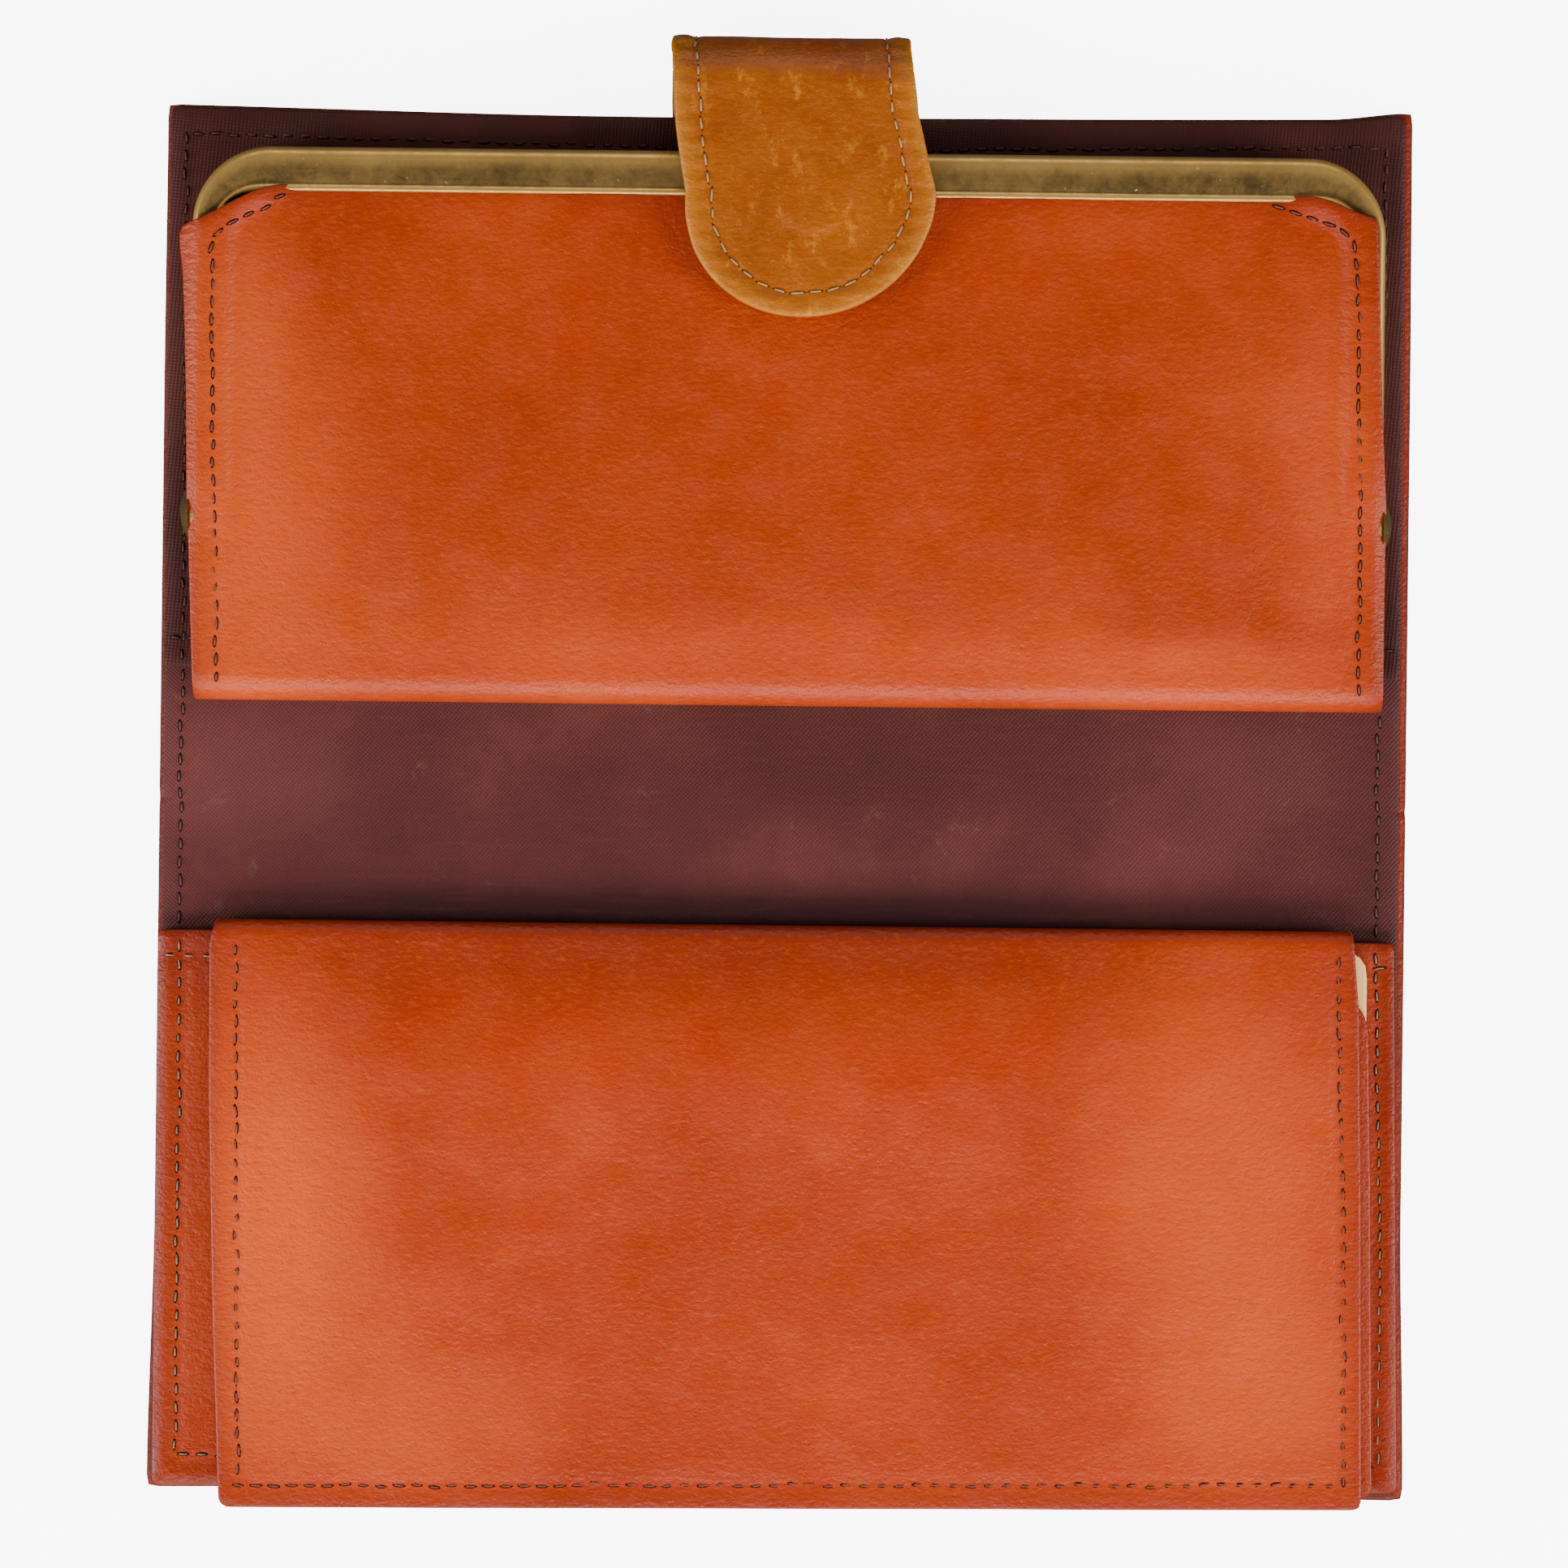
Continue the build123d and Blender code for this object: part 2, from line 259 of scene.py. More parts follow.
def stitches(name, path, top, materials, place=flat_place, pitch=2.7, cover=0.6, radius=0.16, seed=1,
             slot_width=0.33, wander=0.12, keep=None):
    """Row of sewn stitches: a thread over a dark slot for each one, painted shade in the pressed stitch
    groove. materials: thread, slot.
    """
    rng = np.random.default_rng(seed)
    centre, direction = path_points(path, pitch)
    verts, faces, mats = [], [], []
    sections, sides = 7, 6
    for (ca, cb), (da, db) in zip(centre, direction):
        jitter = rng.normal(0, 1, 4)
        if keep is not None and not keep(ca, cb):
            continue
        turn = 0.07 * jitter[0]
        da, db = da * math.cos(turn) - db * math.sin(turn), da * math.sin(turn) + db * math.cos(turn)
        ca, cb = ca - db * wander * jitter[1], cb + da * wander * jitter[1]
        length = pitch * cover * (1 + 0.08 * jitter[2])
        s = np.linspace(-0.5, 0.5, sections) * length
        base = len(verts)
        ground = top(ca + da * s, cb + db * s)
        lift = radius * 0.75 - (np.abs(s) / (length / 2)) ** 4 * radius * 2.0
        width = radius * (1 - 0.45 * (np.abs(s) / (length / 2)) ** 3)
        for i in range(sections):
            for j in range(sides):
                angle = 2 * PI * j / sides
                side = width[i] * math.cos(angle)
                up = width[i] * math.sin(angle)
                verts.append((ca + da * s[i] - db * side, cb + db * s[i] + da * side,
                              ground[i] + lift[i] + up))
        for i in range(sections - 1):
            for j in range(sides):
                k = (j + 1) % sides
                faces.append((base + i * sides + j, base + i * sides + k,
                              base + (i + 1) * sides + k, base + (i + 1) * sides + j))
                mats.append(0)
        faces.append(tuple(base + j for j in range(sides))[::-1])
        faces.append(tuple(base + (sections - 1) * sides + j for j in range(sides)))
        mats += [0, 0]
        # slot: a thin dark lens just proud of the surface, painted shade in the pressed stitch groove
        base = len(verts)
        count = 10
        for layer in (0.03, -0.25):
            for j in range(count):
                angle = 2 * PI * j / count
                u, w = math.cos(angle) * length * 0.62, math.sin(angle) * slot_width
                pa, pb = ca + da * u - db * w, cb + db * u + da * w
                verts.append((pa, pb, float(top(np.array([pa]), np.array([pb]))[0]) + layer))
        for j in range(count):
            k = (j + 1) % count
            faces.append((base + j, base + count + j, base + count + k, base + k))
            mats.append(1)
        faces.append(tuple(base + j for j in range(count)))
        faces.append(tuple(base + count + j for j in range(count))[::-1])
        mats += [1, 1]
    verts = np.array(verts)
    points = place(verts[:, 0], verts[:, 1], verts[:, 2])
    return make_object(name, points, faces, materials, uv=verts[:, :2], face_mats=mats)


# ---- materials
SPOT_CORE = 0.15          # share of a tint's radius that has its full strength


class Nodes:
    """Short calls for building a node material."""

    def __init__(self, name, uses_uv=True):
        self.material = bpy.data.materials.new(name)
        self.material.use_nodes = True
        self.tree = self.material.node_tree
        self.tree.nodes.clear()
        self.output = self.tree.nodes.new("ShaderNodeOutputMaterial")
        self.shader = self.tree.nodes.new("ShaderNodeBsdfPrincipled")
        self.link(self.shader.outputs[0], self.output.inputs[0])
        coords = self.tree.nodes.new("ShaderNodeTexCoord")
        self.coords = coords.outputs["UV"]
        if not uses_uv:
            scaled = self.tree.nodes.new("ShaderNodeMapping")
            scaled.inputs["Scale"].default_value = (10, 10, 10)
            self.link(coords.outputs["Object"], scaled.inputs["Vector"])
            self.coords = scaled.outputs[0]

    def link(self, a, b):
        self.tree.links.new(a, b)

    def put(self, socket, value):
        if hasattr(value, "is_output"):
            self.link(value, socket)
        else:
            socket.default_value = value

    def add(self, kind, output, settings=(), **inputs):
        """New shader node: settings are its attributes, inputs its sockets; returns one output."""
        node = self.tree.nodes.new("ShaderNode" + kind)
        for name, value in dict(settings).items():
            setattr(node, name, value)
        for name, value in inputs.items():
            self.put(node.inputs[name.replace("_", " ")], value)
        return node.outputs[output]

    def stretch(self, scale, turn=0.0):
        return self.add("Mapping", 0, Scale=scale, Rotation=(0, 0, turn), Vector=self.coords)

    def noise(self, scale, detail=3.0, rough=0.55, coords=None, distortion=0.0):
        return self.add("TexNoise", "Fac", Scale=scale, Detail=detail, Roughness=rough,
                        Distortion=distortion, Vector=coords or self.coords)

    def cells(self, scale):
        return self.add("TexVoronoi", "Distance", Scale=scale, Vector=self.coords)

    def wave(self, scale, coords, distortion):
        return self.add("TexWave", "Fac", Scale=scale, Distortion=distortion, Vector=coords)

    def calc(self, operation, a, b):
        node = self.tree.nodes.new("ShaderNodeMath")
        node.operation = operation
        self.put(node.inputs[0], a)
        self.put(node.inputs[1], b)
        return node.outputs[0]

    def span(self, value, low, high, to_low=0.0, to_high=1.0, curve="LINEAR"):
        return self.add("MapRange", 0, {"interpolation_type": curve}, Value=value, From_Min=low,
                        From_Max=high, To_Min=to_low, To_Max=to_high)

    def ramp(self, value, *stops):
        node = self.tree.nodes.new("ShaderNodeValToRGB")
        band = node.color_ramp
        while len(band.elements) < len(stops):
            band.elements.new(0.5)
        for element, (position, colour) in zip(band.elements, stops):
            element.position = position
            element.color = (*colour, 1.0)
        self.link(value, node.inputs[0])
        return node.outputs[0]

    def mix(self, factor, a, b):
        node = self.tree.nodes.new("ShaderNodeMix")
        node.data_type = "RGBA"
        self.put(node.inputs[0], factor)
        for index, value in ((6, a), (7, b)):
            self.put(node.inputs[index], (*value, 1.0) if isinstance(value, tuple) else value)
        return node.outputs[2]

    def edge(self):
        return self.add("Attribute", "Fac", {"attribute_name": "edge"})

    def spot(self, centre, radii):
        """1 in the middle of a soft ellipse on the sheet, 0 outside it; both in mm of the sheet."""
        place = self.add("Mapping", 0, Scale=(UV_UNIT / radii[0], UV_UNIT / radii[1], 0),
                         Location=(-centre[0] / radii[0], -centre[1] / radii[1], 0), Vector=self.coords)
        length = self.tree.nodes.new("ShaderNodeVectorMath")
        length.operation = "LENGTH"
        self.link(place, length.inputs[0])
        return self.span(length.outputs["Value"], SPOT_CORE, 1.0, 1.0, 0.0, "SMOOTHSTEP")

    def tint(self, colour, painted_light_and_marks):
        """Soft ellipses of another colour, each (centre, radii, amount, colour): painted highlights and
        painted shade on the purse, folder, pocket and lining, darker and lighter patches on the strap.
        """
        for centre, radii, amount, shade in painted_light_and_marks:
            colour = self.mix(self.calc("MULTIPLY", self.spot(centre, radii), amount), colour, hexa(shade))
        return colour

    def bump(self, height, distance, strength):
        return self.add("Bump", 0, Strength=strength, Distance=distance, Height=height)

    def finish(self, colour, roughness=0.5, normal=None, **sockets):
        self.put(self.shader.inputs["Base Color"], (*colour, 1.0) if isinstance(colour, tuple) else colour)
        self.put(self.shader.inputs["Roughness"], roughness)
        if normal is not None:
            self.link(normal, self.shader.inputs["Normal"])
        for name, value in sockets.items():
            self.shader.inputs[name.replace("_", " ").title().replace("Ior", "IOR")].default_value = value
        return self.material


def hexa(text):
    """sRGB hex to linear colour."""
    parts = [int(text[i:i + 2], 16) / 255 for i in (0, 2, 4)]
    return tuple(c / 12.92 if c <= 0.04045 else ((c + 0.055) / 1.055) ** 2.4 for c in parts)


TAB_MARK = 36.0           # place of the snap's mark along the strap, mm


def leather(name, dark, middle, light, edge_colour, rough=(0.36, 0.5), edge_strength=0.7, blotch=2.6,
            scuffs=0.0, scuff_colour=None, painted_light_and_marks=(), glow="b84a00"):
    """Smooth dyed leather: soft blotches, soft ellipses of painted highlight and painted shade (darker and
    lighter patches on the strap), pores, short creases and toned edges.
    """
    n = Nodes(name)
    large = n.noise(blotch, 3.0, 0.5)
    small = n.noise(blotch * 5.5, 5.0, 0.62)
    fine = n.noise(150.0, 3.0, 0.6)
    mixed = n.calc("ADD", n.calc("MULTIPLY", large, 0.76), n.calc("MULTIPLY", small, 0.24))
    colour = n.ramp(mixed, (0.28, hexa(dark)), (0.5, hexa(middle)), (0.74, hexa(light)))
    # painted highlights and painted shade in soft ellipses; on the strap, darker and lighter patches
    colour = n.tint(colour, painted_light_and_marks)
    streak = n.noise(105.0, 3.0, 0.55, coords=n.stretch((0.7, 1.25, 1.0), 0.06))
    colour = n.mix(n.span(streak, 0.52, 0.75, 0.0, 0.3), colour, hexa(dark))
    colour = n.mix(n.span(streak, 0.48, 0.25, 0.0, 0.28), colour, hexa(glow))
    pores = n.cells(170.0)
    colour = n.mix(n.span(pores, 0.0, 0.35, 0.14, 0.0), colour, hexa(edge_colour))
    colour = n.mix(n.calc("MULTIPLY", n.edge(), edge_strength), colour, hexa(edge_colour))
    if scuffs:
        rub = n.noise(34.0, 6.0, 0.72, coords=n.stretch((1.0, 0.55, 1.0), 0.5))
        colour = n.mix(n.span(rub, 0.56, 0.7, 0.0, scuffs), colour, hexa(scuff_colour))
    height = n.calc("ADD", n.calc("MULTIPLY", n.span(pores, 0.0, 0.5), 0.22),
                    n.calc("ADD", n.calc("MULTIPLY", fine, 0.4), n.calc("MULTIPLY", streak, -0.9)))
    normal = n.bump(height, 0.00021, 0.9)
    roughness = n.span(small, 0.3, 0.7, *rough)
    return n.finish(colour, roughness, normal, specular_ior_level=0.25)


def woven(name, dark, middle, light, thread=0.5, stain=0.3, turn=0.72, painted_light_and_marks=()):
    """Fine twill cloth with diagonal ribs, slubs, faint stains and ellipses of painted shadow and painted
    light. thread is the rib pitch in mm.
    """
    n = Nodes(name)
    per_unit = 2 * PI * UV_UNIT / thread / 20.0
    rib = n.wave(per_unit, n.stretch((1, 1, 1), turn), 0.6)
    weft = n.wave(per_unit * 1.15, n.stretch((1, 1, 1), turn + PI / 2), 0.5)
    cloud = n.noise(2.6, 5.0, 0.6)
    slub = n.noise(45.0, 4.0, 0.65, coords=n.stretch((0.25, 2.2, 1)))
    colour = n.ramp(cloud, (0.34, hexa(dark)), (0.5, hexa(middle)), (0.68, hexa(light)))
    # painted shadow and painted light in soft ellipses on the lining
    colour = n.tint(colour, painted_light_and_marks)
    colour = n.mix(n.span(slub, 0.52, 0.75, 0.0, 0.35), colour, hexa(light))
    colour = n.mix(n.span(rib, 0.0, 1.0, 0.16, 0.0), colour, hexa(dark))
    spots = n.noise(11.0, 6.0, 0.75, distortion=0.4)
    colour = n.mix(n.span(spots, 0.62, 0.76, 0.0, stain), colour, hexa("6a5a44"))
    colour = n.mix(n.calc("MULTIPLY", n.edge(), 0.35), colour, hexa(dark))
    height = n.calc("ADD", rib, n.calc("MULTIPLY", weft, 0.6))
    normal = n.bump(height, 0.00006, 0.6)
    return n.finish(colour, 0.6, normal, specular_ior_level=0.2)


def brass(name, light="c49a50", dark="261c08", uses_uv=True, patina=0.95):
    """Aged brass: clean where the edge attribute is high, olive and mottled elsewhere."""
    n = Nodes(name, uses_uv)
    mottled = n.noise(48.0, 7.0, 0.74, distortion=0.5)
    broad = n.noise(9.0, 4.0, 0.6)
    scratches = n.noise(30.0, 5.0, 0.7, coords=n.stretch((0.2, 9.0, 1.0)))
    cloud = n.calc("ADD", n.calc("MULTIPLY", mottled, 0.7), n.calc("MULTIPLY", broad, 0.5))
    dirt = n.calc("ADD", n.span(cloud, 0.42, 0.72, 0.62, 1.0), n.span(n.edge(), 0.0, 1.0, 0.0, -0.75))
    colour = n.mix(n.calc("MULTIPLY", n.calc("MAXIMUM", dirt, 0.0), patina), hexa(light), hexa(dark))
    specks = n.noise(120.0, 4.0, 0.6)
    colour = n.mix(n.span(specks, 0.66, 0.72, 0.0, 0.4), colour, hexa("e8dcc0"))
    roughness = n.span(mottled, 0.3, 0.7, 0.34, 0.52)
    normal = n.bump(n.calc("ADD", n.calc("MULTIPLY", mottled, 0.6), scratches), 0.00005, 0.5)
    return n.finish(colour, roughness, normal, metallic=0.72)


def plain(name, colour, other, rough=0.7, scale=60.0, bump=0.00004, uses_uv=True, **sockets):
    """Quiet two-tone surface for thread, card and board."""
    n = Nodes(name, uses_uv)
    grain = n.noise(scale, 4.0, 0.6)
    shade = n.mix(n.span(grain, 0.35, 0.65), hexa(colour), hexa(other))
    return n.finish(shade, rough, n.bump(grain, bump, 0.6), **sockets)


# purse tints: painted shade in the middle, painted highlights at the left and right sides and along the
# bottom fold
M_PURSE = leather("purse_leather", "802200", "942c00", "a83a00", "6c1600", painted_light_and_marks=(
    ((-10, 46), (74, 34), 0.4, "8a2800"), ((-84, 38), (26, 46), 0.55, "ca4c0c"),
    ((0, 22), (100, 11), 0.4, "be4006"), ((-84, 74), (16, 22), 0.35, "c24c14"),
    ((84, 50), (16, 40), 0.4, "c04410"), ((62, 20), (40, 9), 0.4, "c8480e")))
# folder tints: painted shade along the top fold, across the middle and at the bottom edge, painted
# highlights at the sides and lower corners
M_LEAF = leather("folder_leather", "862300", "992c00", "ac3900", "6a1600", blotch=2.1, painted_light_and_marks=(
    ((0, -16), (130, 26), 0.85, "6a1800"), ((-4, -66), (58, 20), 0.4, "8e2600"),
    ((-78, -64), (24, 48), 0.65, "cc4e10"), ((66, -58), (28, 46), 0.5, "c4480a"),
    ((74, -88), (24, 22), 0.4, "c84e12"), ((-60, -94), (44, 16), 0.4, "c04814"),
    ((6, -98), (60, 10), 0.35, "8a2400")))
# pocket tints: a painted highlight down the left side and painted shade at the top left, beside the folder's
# fold
M_POCKET = leather("pocket_leather", "7c1c00", "8a2400", "9a2e00", "561200", blotch=3.2, painted_light_and_marks=(
    ((-92, -50), (20, 60), 0.25, "a0380a"), ((-88, -22), (40, 14), 0.5, "6e1800")))
M_COVER = leather("cover_leather", "841e00", "942600", "a63004", "4c1000", blotch=3.4, edge_strength=0.5)
M_COVER_EDGE = leather("cover_edge", "52190a", "60200e", "702a12", "3a1006", rough=(0.6, 0.7),
                       glow="7a3216")
M_TAB = leather("tab_leather", "702c00", "884000", "9e5200", "b47416", rough=(0.32, 0.48), blotch=4.0,
                edge_strength=0.6, scuffs=0.4, scuff_colour="cc8a24", glow="a86400", painted_light_and_marks=(
    ((4.0, TAB_MARK), (11, 12), 0.75, "8a2c00"), ((-9, TAB_MARK - 18), (12, 14), 0.5, "ae6410"),
    ((14, TAB_MARK - 10), (8, 26), 0.4, "a86014")))
M_TAB_BACK = leather("tab_back_leather", "301004", "3c1606", "4a1e0a", "200a02", rough=(0.5, 0.62))
# lining tints: painted shadow along the folder's top edge, painted light at the left and right by the spine,
# darker across the middle of the spine
M_TWILL = woven("twill_lining", "3c1412", "461917", "54221f", thread=0.5, painted_light_and_marks=(
    ((0, -18.5), (140, 9), 0.85, "1c0504"), ((-84, 4), (30, 14), 0.35, "6a3430"),
    ((74, 6), (26, 12), 0.25, "62302a"), ((0, 4), (60, 8), 0.3, "3a1210")))
M_BILL = woven("pocket_cloth", "32100a", "3e1610", "4c221c", thread=0.55, stain=0.06, turn=0.1)
M_BRASS = brass("aged_brass")
M_BRASS_CAD = brass("aged_brass_cad", light="8a6a2c", uses_uv=False, patina=0.8)
M_THREAD = plain("thread_rust", "6e2c18", "4e1c0e", rough=0.75, scale=300.0)
M_THREAD_GREY = plain("thread_grey", "86684a", "644a32", rough=0.75, scale=300.0)
# dark slot colour: painted shade round the stitches
M_SLOT = plain("stitch_slot", "2c0800", "1c0500", rough=0.95, specular_ior_level=0.1)
M_THREAD_TAB = plain("thread_cream", "a0805a", "84603a", rough=0.75, scale=300.0)
# dark slot colour: painted shade round the strap's stitches
M_SLOT_TAB = plain("stitch_slot_tab", "5a2c04", "421e02", rough=0.9, specular_ior_level=0.1)
M_THREAD_DARK = plain("thread_brown", "4e2a20", "361810", rough=0.8, scale=300.0)
# dark slot colour: painted shade round the lining's stitches
M_SLOT_DARK = plain("stitch_slot_dark", "1c0807", "120504", rough=0.9, specular_ior_level=0.1)
M_CARD = plain("insert_vinyl", "f0bf78", "ecb86e", rough=0.42, scale=9.0, bump=0.00002)
M_BOARD = plain("stiff_board", "8c7558", "77624a", rough=0.85, scale=40.0, uses_uv=False)

# ---- covers and linings
COVER = node_mm("outer_cover_rear")
LINING_TOP = node_mm("lining_rear")[5]
HALF_W = COVER[1]
FAR = COVER[3]
FOLD = -node_mm("outer_cover_spine")[2] + 0.15      # fold line to the middle of the spine
EDGE = 0.4                # how far the rounded edge of a sheet stands out
LINING_RIM = 0.55
LINING_ROWS = (("left", -91.6), ("right", 90.6))
REAR_FOLD = dict(start=world(0, FOLD + 3.4, 3.0), end=world(0, FOLD - 3.4, 3.0))
FRONT_FOLD = dict(start=world(0, -FOLD + 3.4, 3.0), end=world(0, -FOLD - 3.4, 3.0))


def cover_warp(a, b):
    """The worn outline: corners pulled out to points, the far edges bowed in at the middle."""
    side = np.sign(b)
    far = smooth(60, FAR, np.abs(b))
    corner = smooth(84, HALF_W, np.abs(a))
    rear = side > 0
    b = b - side * far * np.where(rear, 0.8, 0.6) * (1 - (a / HALF_W) ** 2) * smooth(0, 1, far)
    raised = 0.8 * smooth(20, -95, a) + 0.7 * smooth(-50, 30, a) + 0.9 * smooth(82, 95, a)
    b = b + far * np.where(rear, raised, 0.0)
    a = a + np.sign(a) * far * corner * 0.35
    a = a - np.where(rear, 0.5, -0.4) * far * np.sign(a) * corner
    return a, b


def cover_top(a, b):
    return np.full_like(a, COVER[5]) + 0.12 * ripple(a, b, 26, 3) - 0.12


def lining_top(a, b):
    """Lining surface: slack over the spine, pressed down at the sewn edges."""
    slack = smooth(26, 12, np.abs(b))
    z = LINING_TOP - 0.05 + slack * (0.16 * ripple(a, b, 22, 8) + 0.10 * ripple(a, b, 7, 9, 14))
    rim = np.minimum(HALF_W - np.abs(a), FAR - np.abs(b))
    return z - 0.35 * smooth(3.0, 0.0, rim)


for name, part_rect, bodies, fold in (
        ("rear", (-HALF_W, HALF_W, -EDGE, FAR), ("rear_half", "spine"), REAR_FOLD),
        ("front", (-HALF_W, HALF_W, -FAR, EDGE), ("spine", "front_half"), FRONT_FOLD)):
    rounds = (0, 0, 0.7, 0.7) if name == "rear" else (1.0, 1.0, 0, 0)
    joined = ("low",) if name == "rear" else ("high",)
    outside = sheet("cover_leather_" + name, part_rect, cover_top, COVER[5] - COVER[4],
                    [M_COVER, M_COVER_EDGE], edge_material=1, step=1.6, radii=rounds, warp=cover_warp,
                    round_edge=EDGE, joined=joined)
    x0, x1, y0, y1 = part_rect
    lining_rect = (x0 + LINING_RIM, x1 - LINING_RIM - 0.5, y0 + (LINING_RIM if name == "front" else 0),
                   y1 - (LINING_RIM if name == "rear" else 0))
    inside = sheet("lining_" + name + "_cloth", lining_rect, lining_top, 0.95, [M_TWILL], step=1.3,
                   radii=rounds, warp=cover_warp, round_edge=EDGE, joined=joined)
    for piece, slot, node in ((outside, "cover_leather", "outer_cover_"),
                              (inside, "twill_lining", "lining_")):
        nodes = [node + name] + [node + "spine"] * (name == "rear")
        settle(piece, bodies, slot, *nodes, fold=fold)

# ---- brown bill pocket
BILL = node_mm("bill_pocket_rear")


def bill_top(a, b):
    rim = np.minimum(94.5 - np.abs(a), 104.5 - b)
    z = BILL[5] + 0.1 * ripple(a, b, 30, 15) + 0.22 * bell(b, BILL[2] + 1.2, 1.4)
    stitch = bell(rim, 3.6, 0.9)
    return z - 0.25 * stitch - 0.3 * smooth(2.0, 0.0, rim) + 0.05 * np.sin(a / 2.7 * 2 * PI) * stitch


BILL_RECT = (-94.3, 93.4, BILL[2], 104.3)
bill = sheet("bill_pocket_cloth", BILL_RECT, bill_top, 0.45, [M_BILL], step=1.3,
             radii=(0, 0, 1.2, 1.2), warp=cover_warp, round_edge=0.2)
settle(bill, "rear_half", "pocket_fabric", "bill_pocket_rear")
bill_seam = [(-91.4, BILL[2] + 0.5), (-91.6, 60), (-91.9, 101.2), (0, 99.6), (90.8, 101.0), (90.6, 60),
             (90.3, BILL[2] + 0.5)]
seam = stitches("bill_pocket_seam", bill_seam, bill_top, [M_THREAD_DARK, M_SLOT_DARK], seed=21)
hem = stitches("bill_pocket_hem", [(-94, 24.6), (93.2, 24.4)], bill_top,
               [M_THREAD_DARK, M_SLOT_DARK], seed=22)
for piece in (seam, hem):
    settle(piece, "rear_half", "pocket_fabric")
LINING_SEAMS = (((-0.5, BILL[2]), ("rear_half", "spine"), REAR_FOLD),
                ((-19.5, 0.0), ("spine", "front_half"), FRONT_FOLD))
for index, (y_range, bodies, fold) in enumerate(LINING_SEAMS):
    for side, x in LINING_ROWS:
        row = stitches("lining_seam_%s_%d" % (side, index), [(x, y) for y in y_range], lining_top,
                       [M_THREAD_DARK, M_SLOT_DARK], seed=30 + index)
        settle(row, bodies, "twill_lining", fold=fold)

# ---- leather pocket of the front half
POCKET = node_mm("bill_pocket_front")
POCKET_SEAM = 3.4         # seam to the edge of the panel
POCKET_Z = 5.2            # height of the panel at its seam


def pocket_warp(a, b):
    a = np.where(a > 0, a * knots(b, (-104, 1.003), (-20, 0.988)), a)
    b = b + 0.5 * smooth(-60, -104, b) * (a / 94) - 0.3 * smooth(-30, -20, b) * np.cos(a / 30)
    return a, b


def pocket_rim(a, b):
    """Distance in from the sewn sides and bottom of the panel."""
    return np.minimum(94.6 - np.abs(a), b + 104.4)


def pocket_top(a, b):
    """Pocket panel: lies high over the folder's back leaf, pressed down at the seams."""
    rim = np.minimum(pocket_rim(a, b), 60)
    z = POCKET_Z + 0.45 * smooth(3, 12, rim) + 0.10 * ripple(a, b, 12, 41, 20)
    z = z - 0.28 * bell(rim, POCKET_SEAM, 0.8) - 0.22 * bell(b, -23.8, 0.7)
    z = z + 0.12 * bell(b, -20.8, 0.8)
    return z - 0.5 * smooth(1.5, 0.0, rim)


def pocket_bottom(a, b):
    return np.minimum(pocket_top(a, b) - 0.5,
                      knots(pocket_rim(a, b), (0, 3.75), (POCKET_SEAM, 3.8), (5.5, 4.85)))


pocket = sheet("pocket_leather_panel", (-94.8, 94.4, -104.2, POCKET[3]), pocket_top, 0.8, [M_POCKET],
               step=1.1, radii=(1.0, 1.0, 0.6, 0.6), warp=pocket_warp, round_edge=0.35, bottom=pocket_bottom)
settle(pocket, "front_half", "purse_leather", "bill_pocket_front")
pocket_rows = (("pocket_seam", [(-91.4, -21.0), (-91.3, -60), (-91.2, -99.8), (0, -100.2), (91.6, -99.4),
                                (91.4, -60), (90.4, -21.0)]),
               ("pocket_hem_left", [(-94.2, -23.8), (-80, -23.8)]),
               ("pocket_hem_right", [(80, -23.6), (92.6, -23.6)]))
for index, (name, path) in enumerate(pocket_rows):
    row = stitches(name, path, pocket_top, [M_THREAD_GREY, M_SLOT], seed=50 + index, pitch=2.8)
    settle(row, "front_half", "purse_leather")

# ---- folder
LEAF = node_mm("folder_front_leaf")
LEAF_TOP = LEAF[5] + 0.1
LEAF_BACK = 4.0           # height of the hidden back leaf
FOLD_R = (LEAF_TOP - LEAF_BACK) / 2
FOLD_C = node_mm("folder_fold")[3] - FOLD_R
LEAF_FOLD = dict(start=world(0, -18.6, 5.0), end=world(0, -18.6, 7.45))


def leaf_place(a, b, h):
    """Front leaf, round fold, then the hidden back leaf; b is Y on the front and runs on behind."""
    a, b, h = (np.asarray(v, float) for v in (a, b, h))
    turn = np.clip((b - FOLD_C) / FOLD_R, 0, PI)
    over = np.maximum(b - FOLD_C - PI * FOLD_R, 0)
    before = np.minimum(b, FOLD_C)
    y = np.where(turn > 0, FOLD_C + (FOLD_R + h) * np.sin(turn) - over, before)
    z = np.where(turn > 0, LEAF_BACK + FOLD_R + (FOLD_R + h) * np.cos(turn), LEAF_TOP + h)
    return np.stack([a, y, z], axis=-1)


LEAF_L, LEAF_R, LEAF_B = -86.4, 88.0, -106.6
LEAF_HIDDEN = FOLD_C + PI * FOLD_R + 16.0           # round the fold and 16 mm into the pocket


def leaf_warp(a, b):
    left = knots(b, (-107, 2.2), (-80, 1.0), (-45, 0.0), (-22, -0.2), (-17, 0.9), (0, 2.0))
    right = knots(b, (-107, 0.9), (-60, 0.3), (-30, -0.3), (-17, -1.4), (0, -3.0))
    t = (a - LEAF_L) / (LEAF_R - LEAF_L)
    a = a + left * (1 - t) + right * t
    b = b + smooth(-80, -107, b) * (-0.75 + 1.5 * t)
    return a, b


def leaf_seam_distance(a, b):
    left = a - (-82.6 + knots(b, (-107, 1.2), (-20, 0.0)))
    right = 85.2 + knots(b, (-107, 1.2), (-20, -0.9)) - a
    low = b - (-103.9 + 0.011 * (a + 82))
    return np.minimum(np.minimum(left, right), low)


